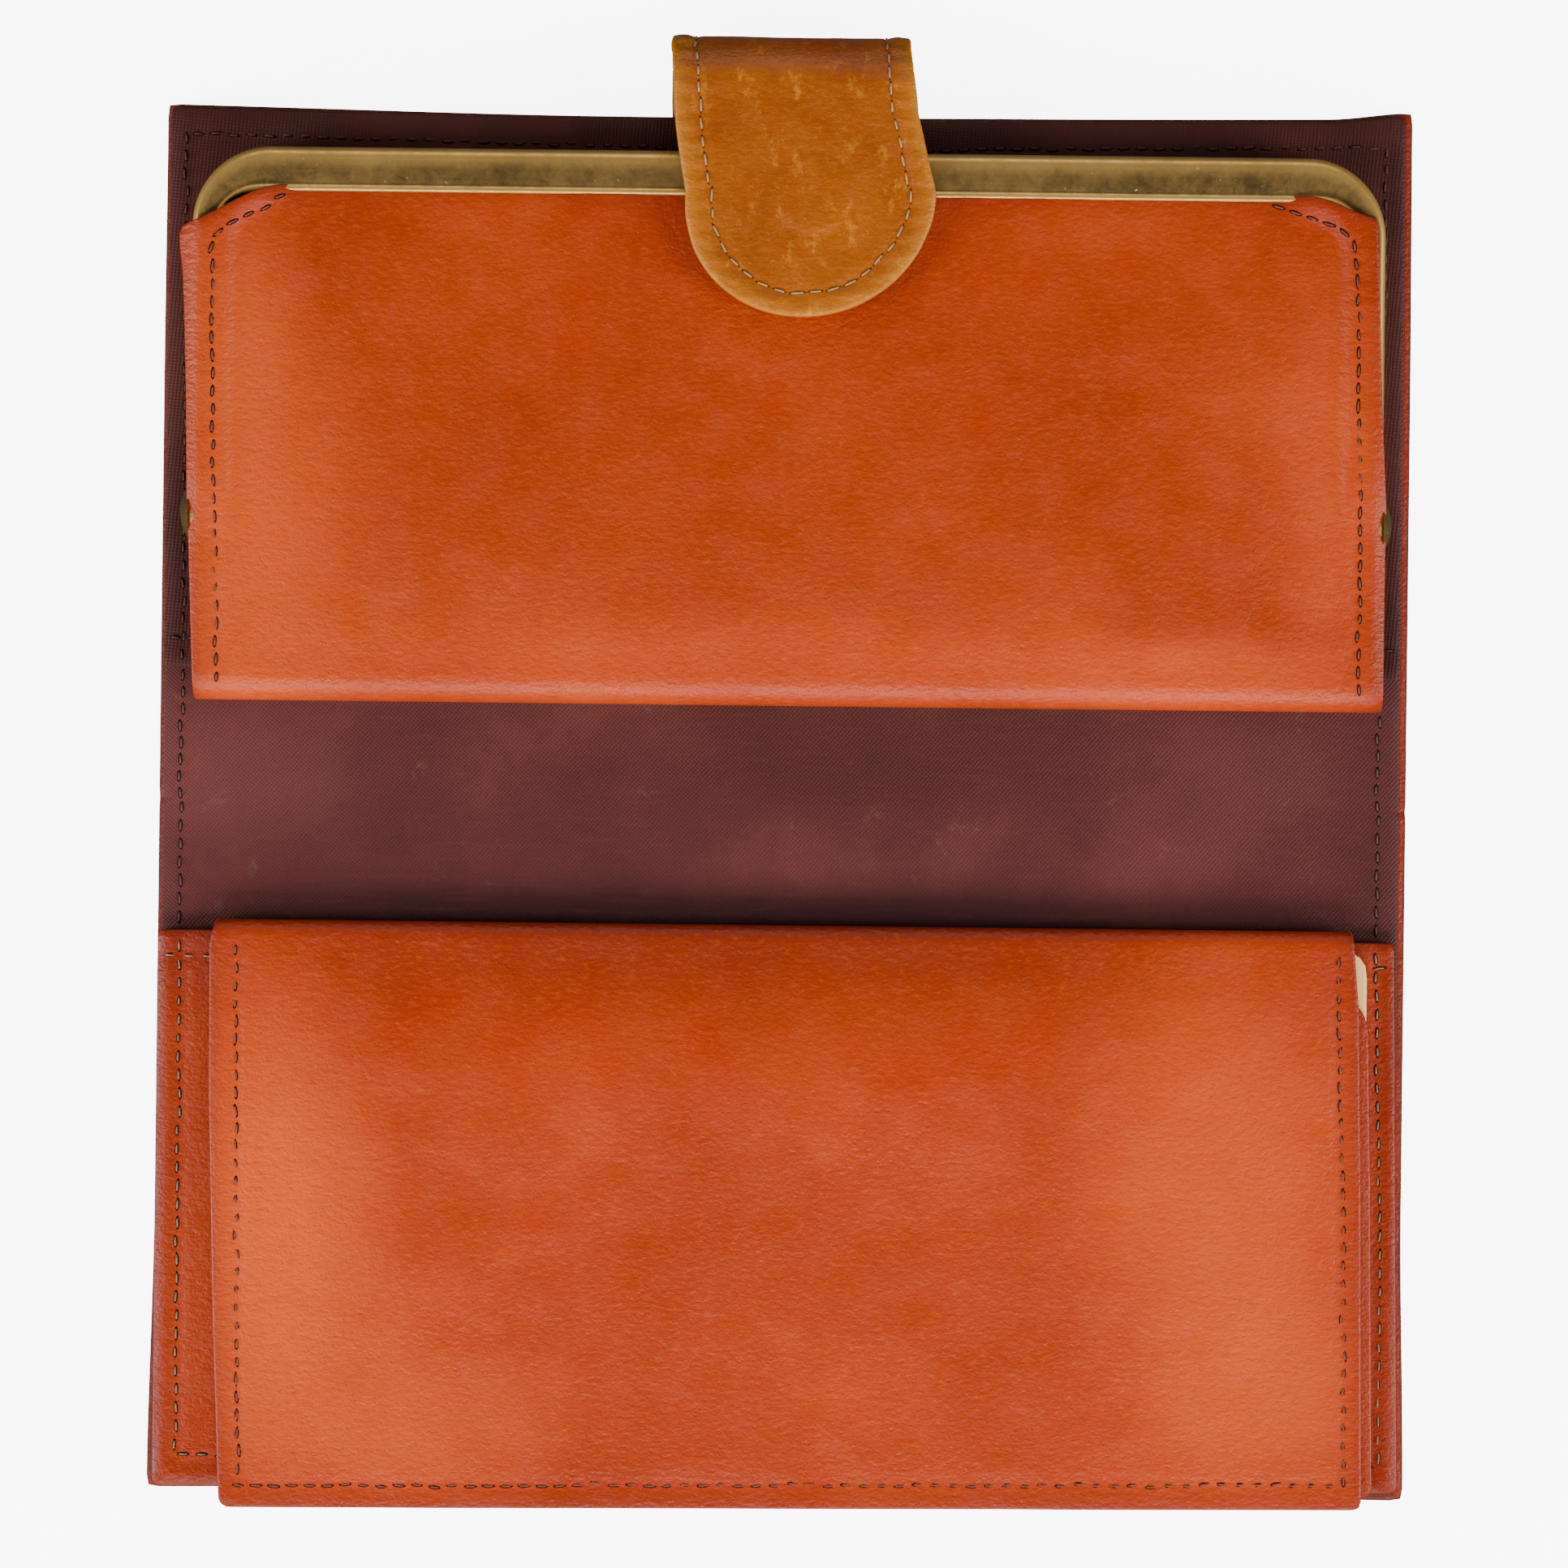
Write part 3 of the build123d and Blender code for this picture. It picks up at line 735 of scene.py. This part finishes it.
def leaf_top(a, b):
    """Height over the flat leaf: a soft pillow with creases and stitch puckers."""
    flat = smooth(FOLD_C + 3.0, FOLD_C - 6.0, b)
    side = smooth(-4, 34, a - LEAF_L) * smooth(-4, 34, LEAF_R - a)
    low = smooth(-107, -92, b)
    crown = 0.7 + 0.9 * smooth(-92, -66, b)
    # kept low where the closed wallet lays the leaf on the tab
    under_tab = smooth(58, 22, np.abs(a - 3)) * smooth(-40, -76, b)
    pillow = crown * (1 - 0.65 * under_tab) * side * (0.55 + 0.45 * low) * smooth(-19, -44, b)
    wrinkle = (0.10 * ripple(a, b, 9, 61, 5) + 0.16 * ripple(a, b, 24, 62, 15)
               + 0.045 * ripple(a, b, 3.2, 63, 1.7))
    seam_d = leaf_seam_distance(a, b)
    groove = -0.24 * bell(seam_d, 0, 0.75)
    pucker = 0.05 * bell(seam_d, 0, 2.2) * np.sin((a + b) / 2.75 * 2 * PI)
    rim = smooth(-5.0, -2.8, seam_d)
    return flat * (pillow + wrinkle * (0.4 + 0.6 * side) + groove + pucker) - 0.12 * (1 - rim)


leaf = sheet("folder_leaf_leather", (LEAF_L, LEAF_R, LEAF_B, LEAF_HIDDEN), leaf_top, 0.7, [M_LEAF],
             place=leaf_place, step=1.0, radii=(1.6, 1.2, 0.6, 0.6), warp=leaf_warp, round_edge=0.33)
settle(leaf, ("front_half", "folder_leaf"), "folder_leather", "folder_front_leaf", "folder_fold",
       "folder_back_leaf", fold=LEAF_FOLD)
leaf_row = [(-82.6, -21.5), (-82.1, -60), (-81.4, -104.0), (0, -103.0), (86.2, -102.0), (85.6, -60),
            (84.4, -21.5)]
row = stitches("folder_leaf_seam", leaf_row, leaf_top, [M_THREAD, M_SLOT], place=leaf_place, seed=64)
settle(row, "folder_leaf", "folder_leather")

INNER = node_mm("folder_leaf_pocket")


def inner_top(a, b):
    return 7.5 + 0.1 * ripple(a, b, 16, 70, 9) - 0.2 * smooth(86.5, 90, a)


def inner_warp(a, b):
    t = smooth(0, 90, a)
    return a + t * knots(b, (-106, 1.3), (-60, 0.6), (-27, -0.2)), b + t * 0.7 * smooth(-60, -105, b)


inner = sheet("folder_inner_pocket", (INNER[0], INNER[1] - 0.3, INNER[2] - 0.4, INNER[3]),
              inner_top, 0.75, [M_LEAF], step=1.6, radii=(1, 1.6, 2, 6), warp=inner_warp, round_edge=0.33)
settle(inner, "folder_leaf", "folder_leather", "folder_leaf_pocket")

CARD = node_mm("insert_card")


def card_top(a, b):
    return CARD[5] + 0.15 * smooth(80, 89, a) + 0.05 * ripple(a, b, 30, 75)


card = sheet("insert_card_vinyl", CARD[:4], card_top, 0.4, [M_CARD], step=2.0,
             radii=(3, 3, 3, 3.5), round_edge=0.18)
settle(card, "insert", "insert_card", "insert_card")

# ---- purse
HINGE_Y, HINGE_Z = 43.3, 9.2
JAW = node_mm("frame_front_jaw")
REAR_JAW = node_mm("frame_rear_jaw")
BAR_TOP = JAW[3]
FRAME_X = JAW[1]
BAR_W, ARM_W, FRAME_R = 6.8, 3.9, 12.0
PURSE_Z = node_mm("purse_front_upper")[5]
PURSE_BACK = node_mm("purse_back_panel")[4]
NOSE_R = (PURSE_Z - PURSE_BACK) / 2
NOSE_C = node_mm("purse_front_lower")[2] + NOSE_R
PURSE_FOLD = dict(start=world(0, 35.5, PURSE_Z), end=world(0, 49.0, PURSE_Z))


def purse_place(a, b, h):
    """Front of the purse, round its bottom fold and a little way up the back; b is Y on the front."""
    a, b, h = (np.asarray(v, float) for v in (a, b, h))
    turn = np.clip((NOSE_C - b) / NOSE_R, 0, PI)
    under = np.maximum(NOSE_C - b - PI * NOSE_R, 0)
    y = np.where(turn > 0, NOSE_C - (NOSE_R + h) * np.sin(turn) + under, b)
    z = np.where(turn > 0, PURSE_BACK + NOSE_R + (NOSE_R + h) * np.cos(turn), PURSE_Z + h)
    return np.stack([a, y, z], axis=-1)


def purse_warp(a, b):
    """Leather outline: sides lean, the top corners stick out over the frame, the middle goes under."""
    left = knots(b, (0, 1.0), (15, 0.8), (45, -0.4), (61, -0.7), (84, -1.5), (90, -2.0))
    right = knots(b, (0, 0.4), (15, 0.5), (45, 0.6), (61, -0.3), (90, -1.2))
    t = (a + 90) / 180
    b = b + (-0.6 + 1.4 * t) * smooth(26, 12, b)
    top_drop = np.where(a < 0, 6.6 * smooth(-74, -92, a), 3.4 * smooth(79, 91, a))
    b = b - top_drop * smooth(70, 93, b)
    return a + left * (1 - t) + right * t, b


def inside_frame(a, b):
    """Distance to the inner outline of the frame, negative inside."""
    ix, iy, r = FRAME_X - ARM_W, BAR_TOP - BAR_W, FRAME_R - ARM_W
    dx, dy = np.abs(a) - (ix - r), b - (iy - r)
    return np.hypot(np.maximum(dx, 0), np.maximum(dy, 0)) + np.minimum(np.maximum(dx, dy), 0) - r


def purse_top(a, b):
    """Height over the flat front: puffed, raised over the arms, creased, curled at the sides."""
    over = smooth(-3.6, -0.2, inside_frame(a, b)) * smooth(74, 81, np.abs(a)) * smooth(38, 50, b)
    side = smooth(0, 30, 90 - np.abs(a))
    puff = 1.15 * side * smooth(16, 40, b) * smooth(94, 66, b)
    wrinkle = (0.08 * ripple(a, b, 10, 81, 5) + 0.15 * ripple(a, b, 26, 82, 14)
               + 0.04 * ripple(a, b, 3.4, 83, 1.8))
    flat = smooth(NOSE_C - 5, NOSE_C + 6, b)
    line = np.abs(a) - 86.2
    groove = -0.28 * bell(line, 0, 0.8) * smooth(20, 24, b)
    pucker = 0.05 * bell(line, 0, 2.0) * np.sin(b / 2.7 * 2 * PI)
    curl = -1.7 * smooth(88.2, 91.6, np.abs(a)) ** 2 * smooth(10, 24, b)
    crease = 0.14 * bell(b, 25.0, 4.5) * side
    return 1.25 * over + flat * (puff + wrinkle * (0.35 + 0.65 * side) + groove + pucker) + curl + crease


PURSE_LOW = NOSE_C - PI * NOSE_R - 4.0
purse = sheet("purse_front_leather", (-90, 90, PURSE_LOW, 92.8), purse_top, 0.75, [M_PURSE],
              place=purse_place, step=1.0, radii=(1, 1, 1.2, 1.4), warp=purse_warp, round_edge=0.35)
JAWS = ("rear_half", "front_jaw")
settle(purse, JAWS, "purse_leather", "purse_front_upper", "purse_front_flex", "purse_front_lower",
       fold=PURSE_FOLD)
purse_row = [(-85.6, 17.0), (-86.3, 45), (-86.9, 82), (-86.7, 84.8), (-84.5, 86.6), (-75.5, 91.2)]
purse_row_r = [(86.6, 17.0), (86.6, 45), (85.7, 82), (85.0, 86.0), (82.5, 88.2), (72.5, 91.4)]
for name, path, seed in (("purse_seam_left", purse_row, 84), ("purse_seam_right", purse_row_r, 85)):
    row = stitches(name, path, purse_top, [M_THREAD, M_SLOT], place=purse_place, seed=seed)
    settle(row, JAWS, "purse_leather", fold=PURSE_FOLD)

back = sheet("purse_back_leather", (-88.6, 88.6, node_mm("purse_back_panel")[2] + 4.4, 96.5),
             lambda a, b: np.full_like(a, 5.15), 0.5, [M_PURSE], step=2.0, radii=(1, 1, 10, 10),
             round_edge=0.2)
settle(back, "rear_half", "purse_leather", "purse_back_panel")
for name, node, body in (("purse_lining_back_cloth", "purse_lining_back", "rear_half"),
                         ("purse_lining_front_cloth", "purse_lining_front", "front_jaw")):
    x0, x1, y0, y1, z0, z1 = node_mm(node)
    y0 = y0 + (2.0 if body == "rear_half" else 7.0)
    piece = sheet(name, (x0, x1, y0, y1), lambda a, b, z=z1: z - 0.02 + 0.03 * ripple(a, b, 15, 90),
                  z1 - z0, [M_TWILL], step=2.2, round_edge=0.1)
    settle(piece, body, "twill_lining", node)


GUSSET_ARC = 16.0         # length of the pleated wall from the back to the front of the purse


def gusset_place(side):
    """Pleated side wall: a runs round the pleat from back to front, b is Y."""
    def place(a, b, h):
        t = a / GUSSET_ARC
        z = 5.0 + 7.2 * t
        deep = knots(b, (16, 0.0), (24, 3.0), (45, 6.0), (88, 6.5))
        x = 86.6 - deep * np.sin(PI * np.clip(t, 0, 1)) + h
        x = x - 1.6 * smooth(42, 50, b)
        return np.stack([side * x, b, z], axis=-1)
    return place


for name, side in (("left", -1), ("right", 1)):
    wall = sheet("purse_gusset_%s_leather" % name, (0, GUSSET_ARC, 17.5, 84.0),
                 lambda a, b: 0.06 * ripple(a, b, 8, 95), 0.5, [M_PURSE], place=gusset_place(side),
                 step=1.0, step_b=1.6, round_edge=0.2)
    if side < 0:
        wall.data.flip_normals()
    settle(wall, JAWS, "purse_leather", "purse_gusset_" + name,
           fold=dict(start=world(0, 50, 5.6), end=world(0, 50, 12.0)))

# ---- brass frame
EAR_TOP = HINGE_Y + 4.6
EAR_R = 3.9


def frame_path():
    """Points round the frame's outer edge, each with its inward direction and bar width."""
    points = []
    corner_y = BAR_TOP - FRAME_R
    corner_x = FRAME_X - FRAME_R
    for y in np.linspace(EAR_TOP, corner_y, 16, endpoint=False):
        points.append((-FRAME_X, y, 1.0, 0.0, 0.0))
    for angle in np.linspace(PI, PI / 2, 20):
        c, s = math.cos(angle), math.sin(angle)
        blend = smooth(PI, PI / 2, angle)
        points.append((-corner_x + FRAME_R * c, corner_y + FRAME_R * s, -c, -s, float(blend)))
    for x in np.linspace(-corner_x, corner_x, 50)[1:-1]:
        points.append((x, BAR_TOP, 0.0, -1.0, 1.0))
    mirrored = [(-p[0], p[1], -p[2], p[3], p[4]) for p in points
                if p[0] < -corner_x - 1e-6 or p[3] > -1][::-1]
    left = [p for p in points if p[0] <= corner_x]
    mirrored = [p for p in mirrored if p[0] >= corner_x - 1e-6 and p[3] > -0.9999 or p[0] > corner_x]
    return left + mirrored


def jaw(name, z_out, z_in, body, node):
    """One jaw swept round the frame: a rounded outer bead, a hollowed face and a thin inner lip."""
    path = frame_path()
    sign = 1 if z_out > z_in else -1
    depth = abs(z_out - z_in)
    # (fraction of the width from the outer edge, depth below the outside face, wear)
    profile = [(0.0, 1.0, 0.2), (0.0, 0.5, 0.5), (0.02, 0.34, 0.8), (0.06, 0.17, 1.0), (0.12, 0.06, 1.0),
               (0.19, 0.01, 0.9), (0.27, 0.0, 0.6), (0.36, 0.03, 0.25), (0.5, 0.07, 0.05), (0.68, 0.12, 0.0),
               (0.8, 0.17, 0.0), (0.85, 0.19, 0.3), (0.88, 0.13, 1.0), (0.94, 0.1, 1.0), (1.0, 0.16, 0.7),
               (1.0, 1.0, 0.0)]
    verts, edge, uv = [], [], []
    run = 0.0
    last = None
    for x, y, dx, dy, wide in path:
        width = ARM_W + (BAR_W - ARM_W) * wide
        if last is not None:
            run += math.hypot(x - last[0], y - last[1])
        last = (x, y)
        for fraction, drop, wear in profile:
            verts.append((x + dx * width * fraction, y + dy * width * fraction, z_out - sign * drop * depth))
            edge.append(wear)
            uv.append((run, fraction * width))
    m = len(profile)
    faces = []
    for i in range(len(path) - 1):
        for j in range(m):
            k = (j + 1) % m
            quad = (i * m + j, i * m + k, (i + 1) * m + k, (i + 1) * m + j)
            faces.append(quad if sign < 0 else quad[::-1])
    first = tuple(range(m))
    last_ring = tuple((len(path) - 1) * m + j for j in range(m))
    faces += [first if sign > 0 else first[::-1], last_ring[::-1] if sign > 0 else last_ring]
    obj = make_object(name, verts, faces, [M_BRASS], uv=uv, edge=edge)
    settle(obj, body, "frame_brass", node)


jaw("brass_jaw_front", JAW[5], HINGE_Z + 0.15, "front_jaw", "frame_front_jaw")
jaw("brass_jaw_rear", REAR_JAW[4], HINGE_Z - 0.15, "rear_half", "frame_rear_jaw")


def ear(name, x_low, x_high, z0, z1, body):
    """Hinge ear: a round eye on a tapering link."""
    upper = z1 >= HINGE_Z + 1
    count = 28
    outline = []
    for k in range(count + 1):
        angle = (PI / 2 + PI * k / count) * (1 if upper else -1)
        outline.append((HINGE_Y + EAR_R * math.cos(angle), HINGE_Z + EAR_R * math.sin(angle)))
    outline += [(EAR_TOP + 0.6, z) for z in ((z0, z1) if upper else (z1, z0))]
    m = len(outline)
    verts = [(x_low, y, z) for y, z in outline] + [(x_high, y, z) for y, z in outline]
    faces = [tuple(range(m)), tuple(range(2 * m - 1, m - 1, -1))]
    faces += [(j, m + j, m + (j + 1) % m, (j + 1) % m) for j in range(m)]
    obj = make_object(name, verts, faces, [M_BRASS], uv=[(v[1], v[2]) for v in verts],
                      edge=np.full(2 * m, 0.6), smooth_shade=False)
    bevel = obj.modifiers.new("bevel", "BEVEL")
    bevel.width = 0.25 * MM
    bevel.segments = 2
    settle(obj, body, "frame_brass")


for name, side in (("left", -1), ("right", 1)):
    low, high = sorted((side * 88.4, side * 90.0))
    ear("hinge_ear_rear_" + name, low, high, REAR_JAW[4], HINGE_Z - 0.15, "rear_half")
    low, high = sorted((side * 86.3, side * 88.0))
    ear("hinge_ear_front_" + name, low, high, HINGE_Z + 0.15, JAW[5] - 0.9, "front_jaw")

# ---- closing tab
BASE = node_mm("tab_base_leather")
BEND_Y = 107.9
OUT_R = 8.5
BEND_Z = 8.5
TAB_T = 1.6
S_BEND = BEND_Y - BASE[2]
S_TOP = S_BEND + PI * OUT_R
TIP_Y = node_mm("tab_flap_leather")[2] - 0.2
S_TIP = S_TOP + BEND_Y - TIP_Y


def tab_place(a, b, h):
    """The strap from its sewn end, round the edge, to its tip; h = 0 is the outer face."""
    a, b, h = (np.asarray(v, float) for v in (a, b, h))
    turn = np.clip((b - S_BEND) / OUT_R, 0, PI)
    over = np.maximum(b - S_TOP, 0)
    y = BEND_Y + (OUT_R + h) * np.sin(turn) - over + np.minimum(b - S_BEND, 0)
    z = BEND_Z - (OUT_R + h) * np.cos(turn)
    return np.stack([a, y, z], axis=-1)


S_ROUND = S_TIP - 18.4    # where the round tip begins
SEAM_BASE, SEAM_TIP = 14.4, 14.9


def tab_centre(b):
    return knots(b, (0, 0), (S_TOP - 8, 0.0), (S_TOP + 4, 0.9), (S_TOP + 16, 3.2), (S_TIP, 1.9))


def seam_half(b):
    """Half the distance between the strap's two rows of stitches."""
    return knots(b, (0, SEAM_BASE), (S_TOP - 4, SEAM_BASE), (S_TOP + 15, SEAM_TIP), (S_TIP, SEAM_TIP))


def tab_warp(a, b):
    """The strap drifts to +X and widens a little towards its round end."""
    drift = tab_centre(b)
    widen = knots(b, (0, 1.0), (S_TOP - 4, 1.0), (S_TOP + 15, 1.045), (S_TIP, 1.04))
    scallop = 0.12 * ripple(a, b, 5, 101, 2.6) * smooth(14, 18, np.abs(a))
    return a * widen + drift + scallop, b


def tab_seam_distance(a, b):
    """Distance inside the strap's stitch line."""
    centre = tab_centre(b)
    radial = np.hypot(a - centre, np.maximum(b - S_ROUND, 0))
    return seam_half(b) - np.where(b > S_ROUND, radial, np.abs(a - centre))


SNAP = node_mm("snap_socket")
SNAP_X, SNAP_Y = (SNAP[0] + SNAP[1]) / 2, (SNAP[2] + SNAP[3]) / 2
S_SNAP = S_TOP + BEND_Y - SNAP_Y


def tab_top(a, b):
    """Outer face: pressed stitch line, puffed and puckered edges, the ring of the snap showing."""
    d = tab_seam_distance(a, b)
    z = -0.22 * bell(d, 0, 0.7) + 0.14 * bell(d, -1.9, 1.2)
    z = z + 0.10 * bell(d, -1.6, 1.5) * np.sin(b / 2.9 * 2 * PI + np.sign(a))
    z = z + 0.10 * ripple(a, b, 8, 103, 5) + 0.05 * ripple(a, b, 2.4, 104)
    ring = np.hypot(a - SNAP_X, b - S_SNAP)
    z = z + 0.16 * smooth(6.6, 5.4, ring) - 0.10 * bell(ring, 6.3, 0.5)
    return z - 0.15


S_CUTS = (-EDGE, S_BEND + OUT_R * math.radians(32), S_BEND + OUT_R * PI / 2,
          S_BEND + OUT_R * math.radians(160), S_TIP)
TAB_BLENDS = (
    ("rear_half", "tab_riser", (105.4, 0.8), (109.2, 0.8)),
    ("tab_riser", "tab_crown", (115.0, 3.9), (115.0, 6.9)),
    ("tab_crown", "tab_shoulder", (115.0, 10.1), (115.0, 13.1)),
    ("tab_shoulder", "tab_flap", (104.6, 16.0), (100.2, 16.0)))
TAB_NODES = (("tab_base_leather", "tab_base_lining", "tab_riser_leather", "tab_riser_lining"),
             ("tab_crown_leather", "tab_crown_lining"),
             ("tab_shoulder_leather", "tab_shoulder_lining"),
             ("tab_flap_leather", "tab_flap_lining"))
base_rows = np.linspace(6, S_TOP - 8, 20)
left_side, right_side = [], []
for b in np.linspace(S_TOP - 8, S_ROUND, 14):
    centre, half = float(tab_centre(b)), float(seam_half(b))
    left_side.append((centre - half, b))
    right_side.append((centre + half, b))
tip = []
for angle in np.linspace(PI, 0, 26)[1:-1]:
    b = S_ROUND + SEAM_TIP * math.sin(angle)
    tip.append((float(tab_centre(b)) + SEAM_TIP * math.cos(angle), b))
tab_path = ([(-SEAM_BASE, 3.0)] + [(-SEAM_BASE, b) for b in base_rows] + left_side + tip
            + right_side[::-1] + [(SEAM_BASE, b) for b in base_rows[::-1]] + [(SEAM_BASE, 3.0)])
for index, (body_a, body_b, start, end) in enumerate(TAB_BLENDS):
    low, high = S_CUTS[index], S_CUTS[index + 1]
    bend = dict(start=world(0, *start), end=world(0, *end))
    last = index == len(TAB_BLENDS) - 1
    rect = (-18.1, 18.1, low - (EDGE if index else 0), high + (0 if last else EDGE))
    rounds = (0, 0, 17.9, 17.9) if last else (0, 0, 0, 0)
    strap = sheet("tab_strap_%d" % (index + 1), rect, tab_top, TAB_T - 0.1, [M_TAB, M_TAB_BACK],
                  place=tab_place, step=0.7, step_b=0.45, radii=rounds, warp=tab_warp,
                  round_edge=EDGE, back_material=1, wear_width=1.8,
                  joined=("low",) * (index > 0) + ("high",) * (not last))
    settle(strap, (body_a, body_b), "tab_leather", *TAB_NODES[index], fold=bend)
    row = stitches("tab_seam_%d" % (index + 1), tab_path, tab_top, [M_THREAD_TAB, M_SLOT_TAB],
                   place=tab_place, pitch=2.75, cover=0.74, radius=0.17, seed=110, slot_width=0.26,
                   keep=lambda a, b, low=low, high=high: low <= b < high)
    settle(row, (body_a, body_b), "tab_leather", fold=bend)

# ---- CAD nodes that stay
KEPT = ((M_BRASS_CAD, ("hinge_rivet_left", "hinge_rivet_right", "kiss_ball_rear", "kiss_ball_front",
                       "snap_stud", "snap_post", "snap_socket", "snap_socket_back")),
        (M_BOARD, ("stiffener_rear", "stiffener_front")))
for material, nodes in KEPT:
    for node in nodes:
        for item in frame["nodes"][node].material_slots:
            item.material = material

# ---- floor, light and camera
floor_mesh = bpy.data.meshes.new("floor")
floor_mesh.from_pydata([(-3, -3, 0), (3, -3, 0), (3, 3, 0), (-3, 3, 0)], [], [(0, 1, 2, 3)])
floor = bpy.data.objects.new("floor", floor_mesh)
floor.location = (0, 0, -0.0003)
bpy.context.scene.collection.objects.link(floor)
floor.visible_diffuse = False
floor.visible_glossy = False
FLOOR_GLOW = 7.0          # the paper is lit from behind, as in a product picture
floor_nodes = Nodes("floor_paper", uses_uv=False)
floor_mesh.materials.append(floor_nodes.finish((0.93, 0.93, 0.95), 0.9, emission_color=(1, 1, 1, 1),
                                                emission_strength=FLOOR_GLOW))


def area_light(name, place, size, power):
    """White soft box at a place in metres, facing the middle of the scene."""
    data = bpy.data.lights.new(name, "AREA")
    data.shape = "RECTANGLE"
    data.size, data.size_y = size
    data.energy = power
    obj = bpy.data.objects.new(name, data)
    obj.location = place
    obj.rotation_euler = (Vector() - Vector(place)).to_track_quat("-Z", "Y").to_euler()
    bpy.context.scene.collection.objects.link(obj)


area_light("key", (0.0, -0.95, 0.62), (1.0, 0.4), 19.0)
area_light("left", (-0.85, -0.2, 0.36), (0.35, 0.8), 15.0)
area_light("right", (0.85, -0.2, 0.36), (0.35, 0.8), 15.0)
area_light("back", (0.0, 0.95, 0.5), (0.9, 0.3), 3.5)
world_data = bpy.data.worlds.new("studio")
world_data.use_nodes = True
background = world_data.node_tree.nodes["Background"]
background.inputs[0].default_value = (0.97, 0.98, 1.0, 1.0)
background.inputs[1].default_value = 0.16
bpy.context.scene.world = world_data

VIEW_W = 0.2376           # width of the picture at the wallet, metres
LENS, SENSOR = 150.0, 36.0
CAMERA_AT = (0.0002, SPINE_Y + 0.0032)
camera_data = bpy.data.cameras.new("camera")
camera_data.lens = LENS
camera_data.sensor_width = SENSOR
camera = bpy.data.objects.new("camera", camera_data)
camera.location = (CAMERA_AT[0], CAMERA_AT[1], VIEW_W * LENS / SENSOR + 0.008)
camera.rotation_euler = (0, 0, math.radians(0.67))
bpy.context.scene.collection.objects.link(camera)
bpy.context.scene.camera = camera

bpy.context.view_layer.update()
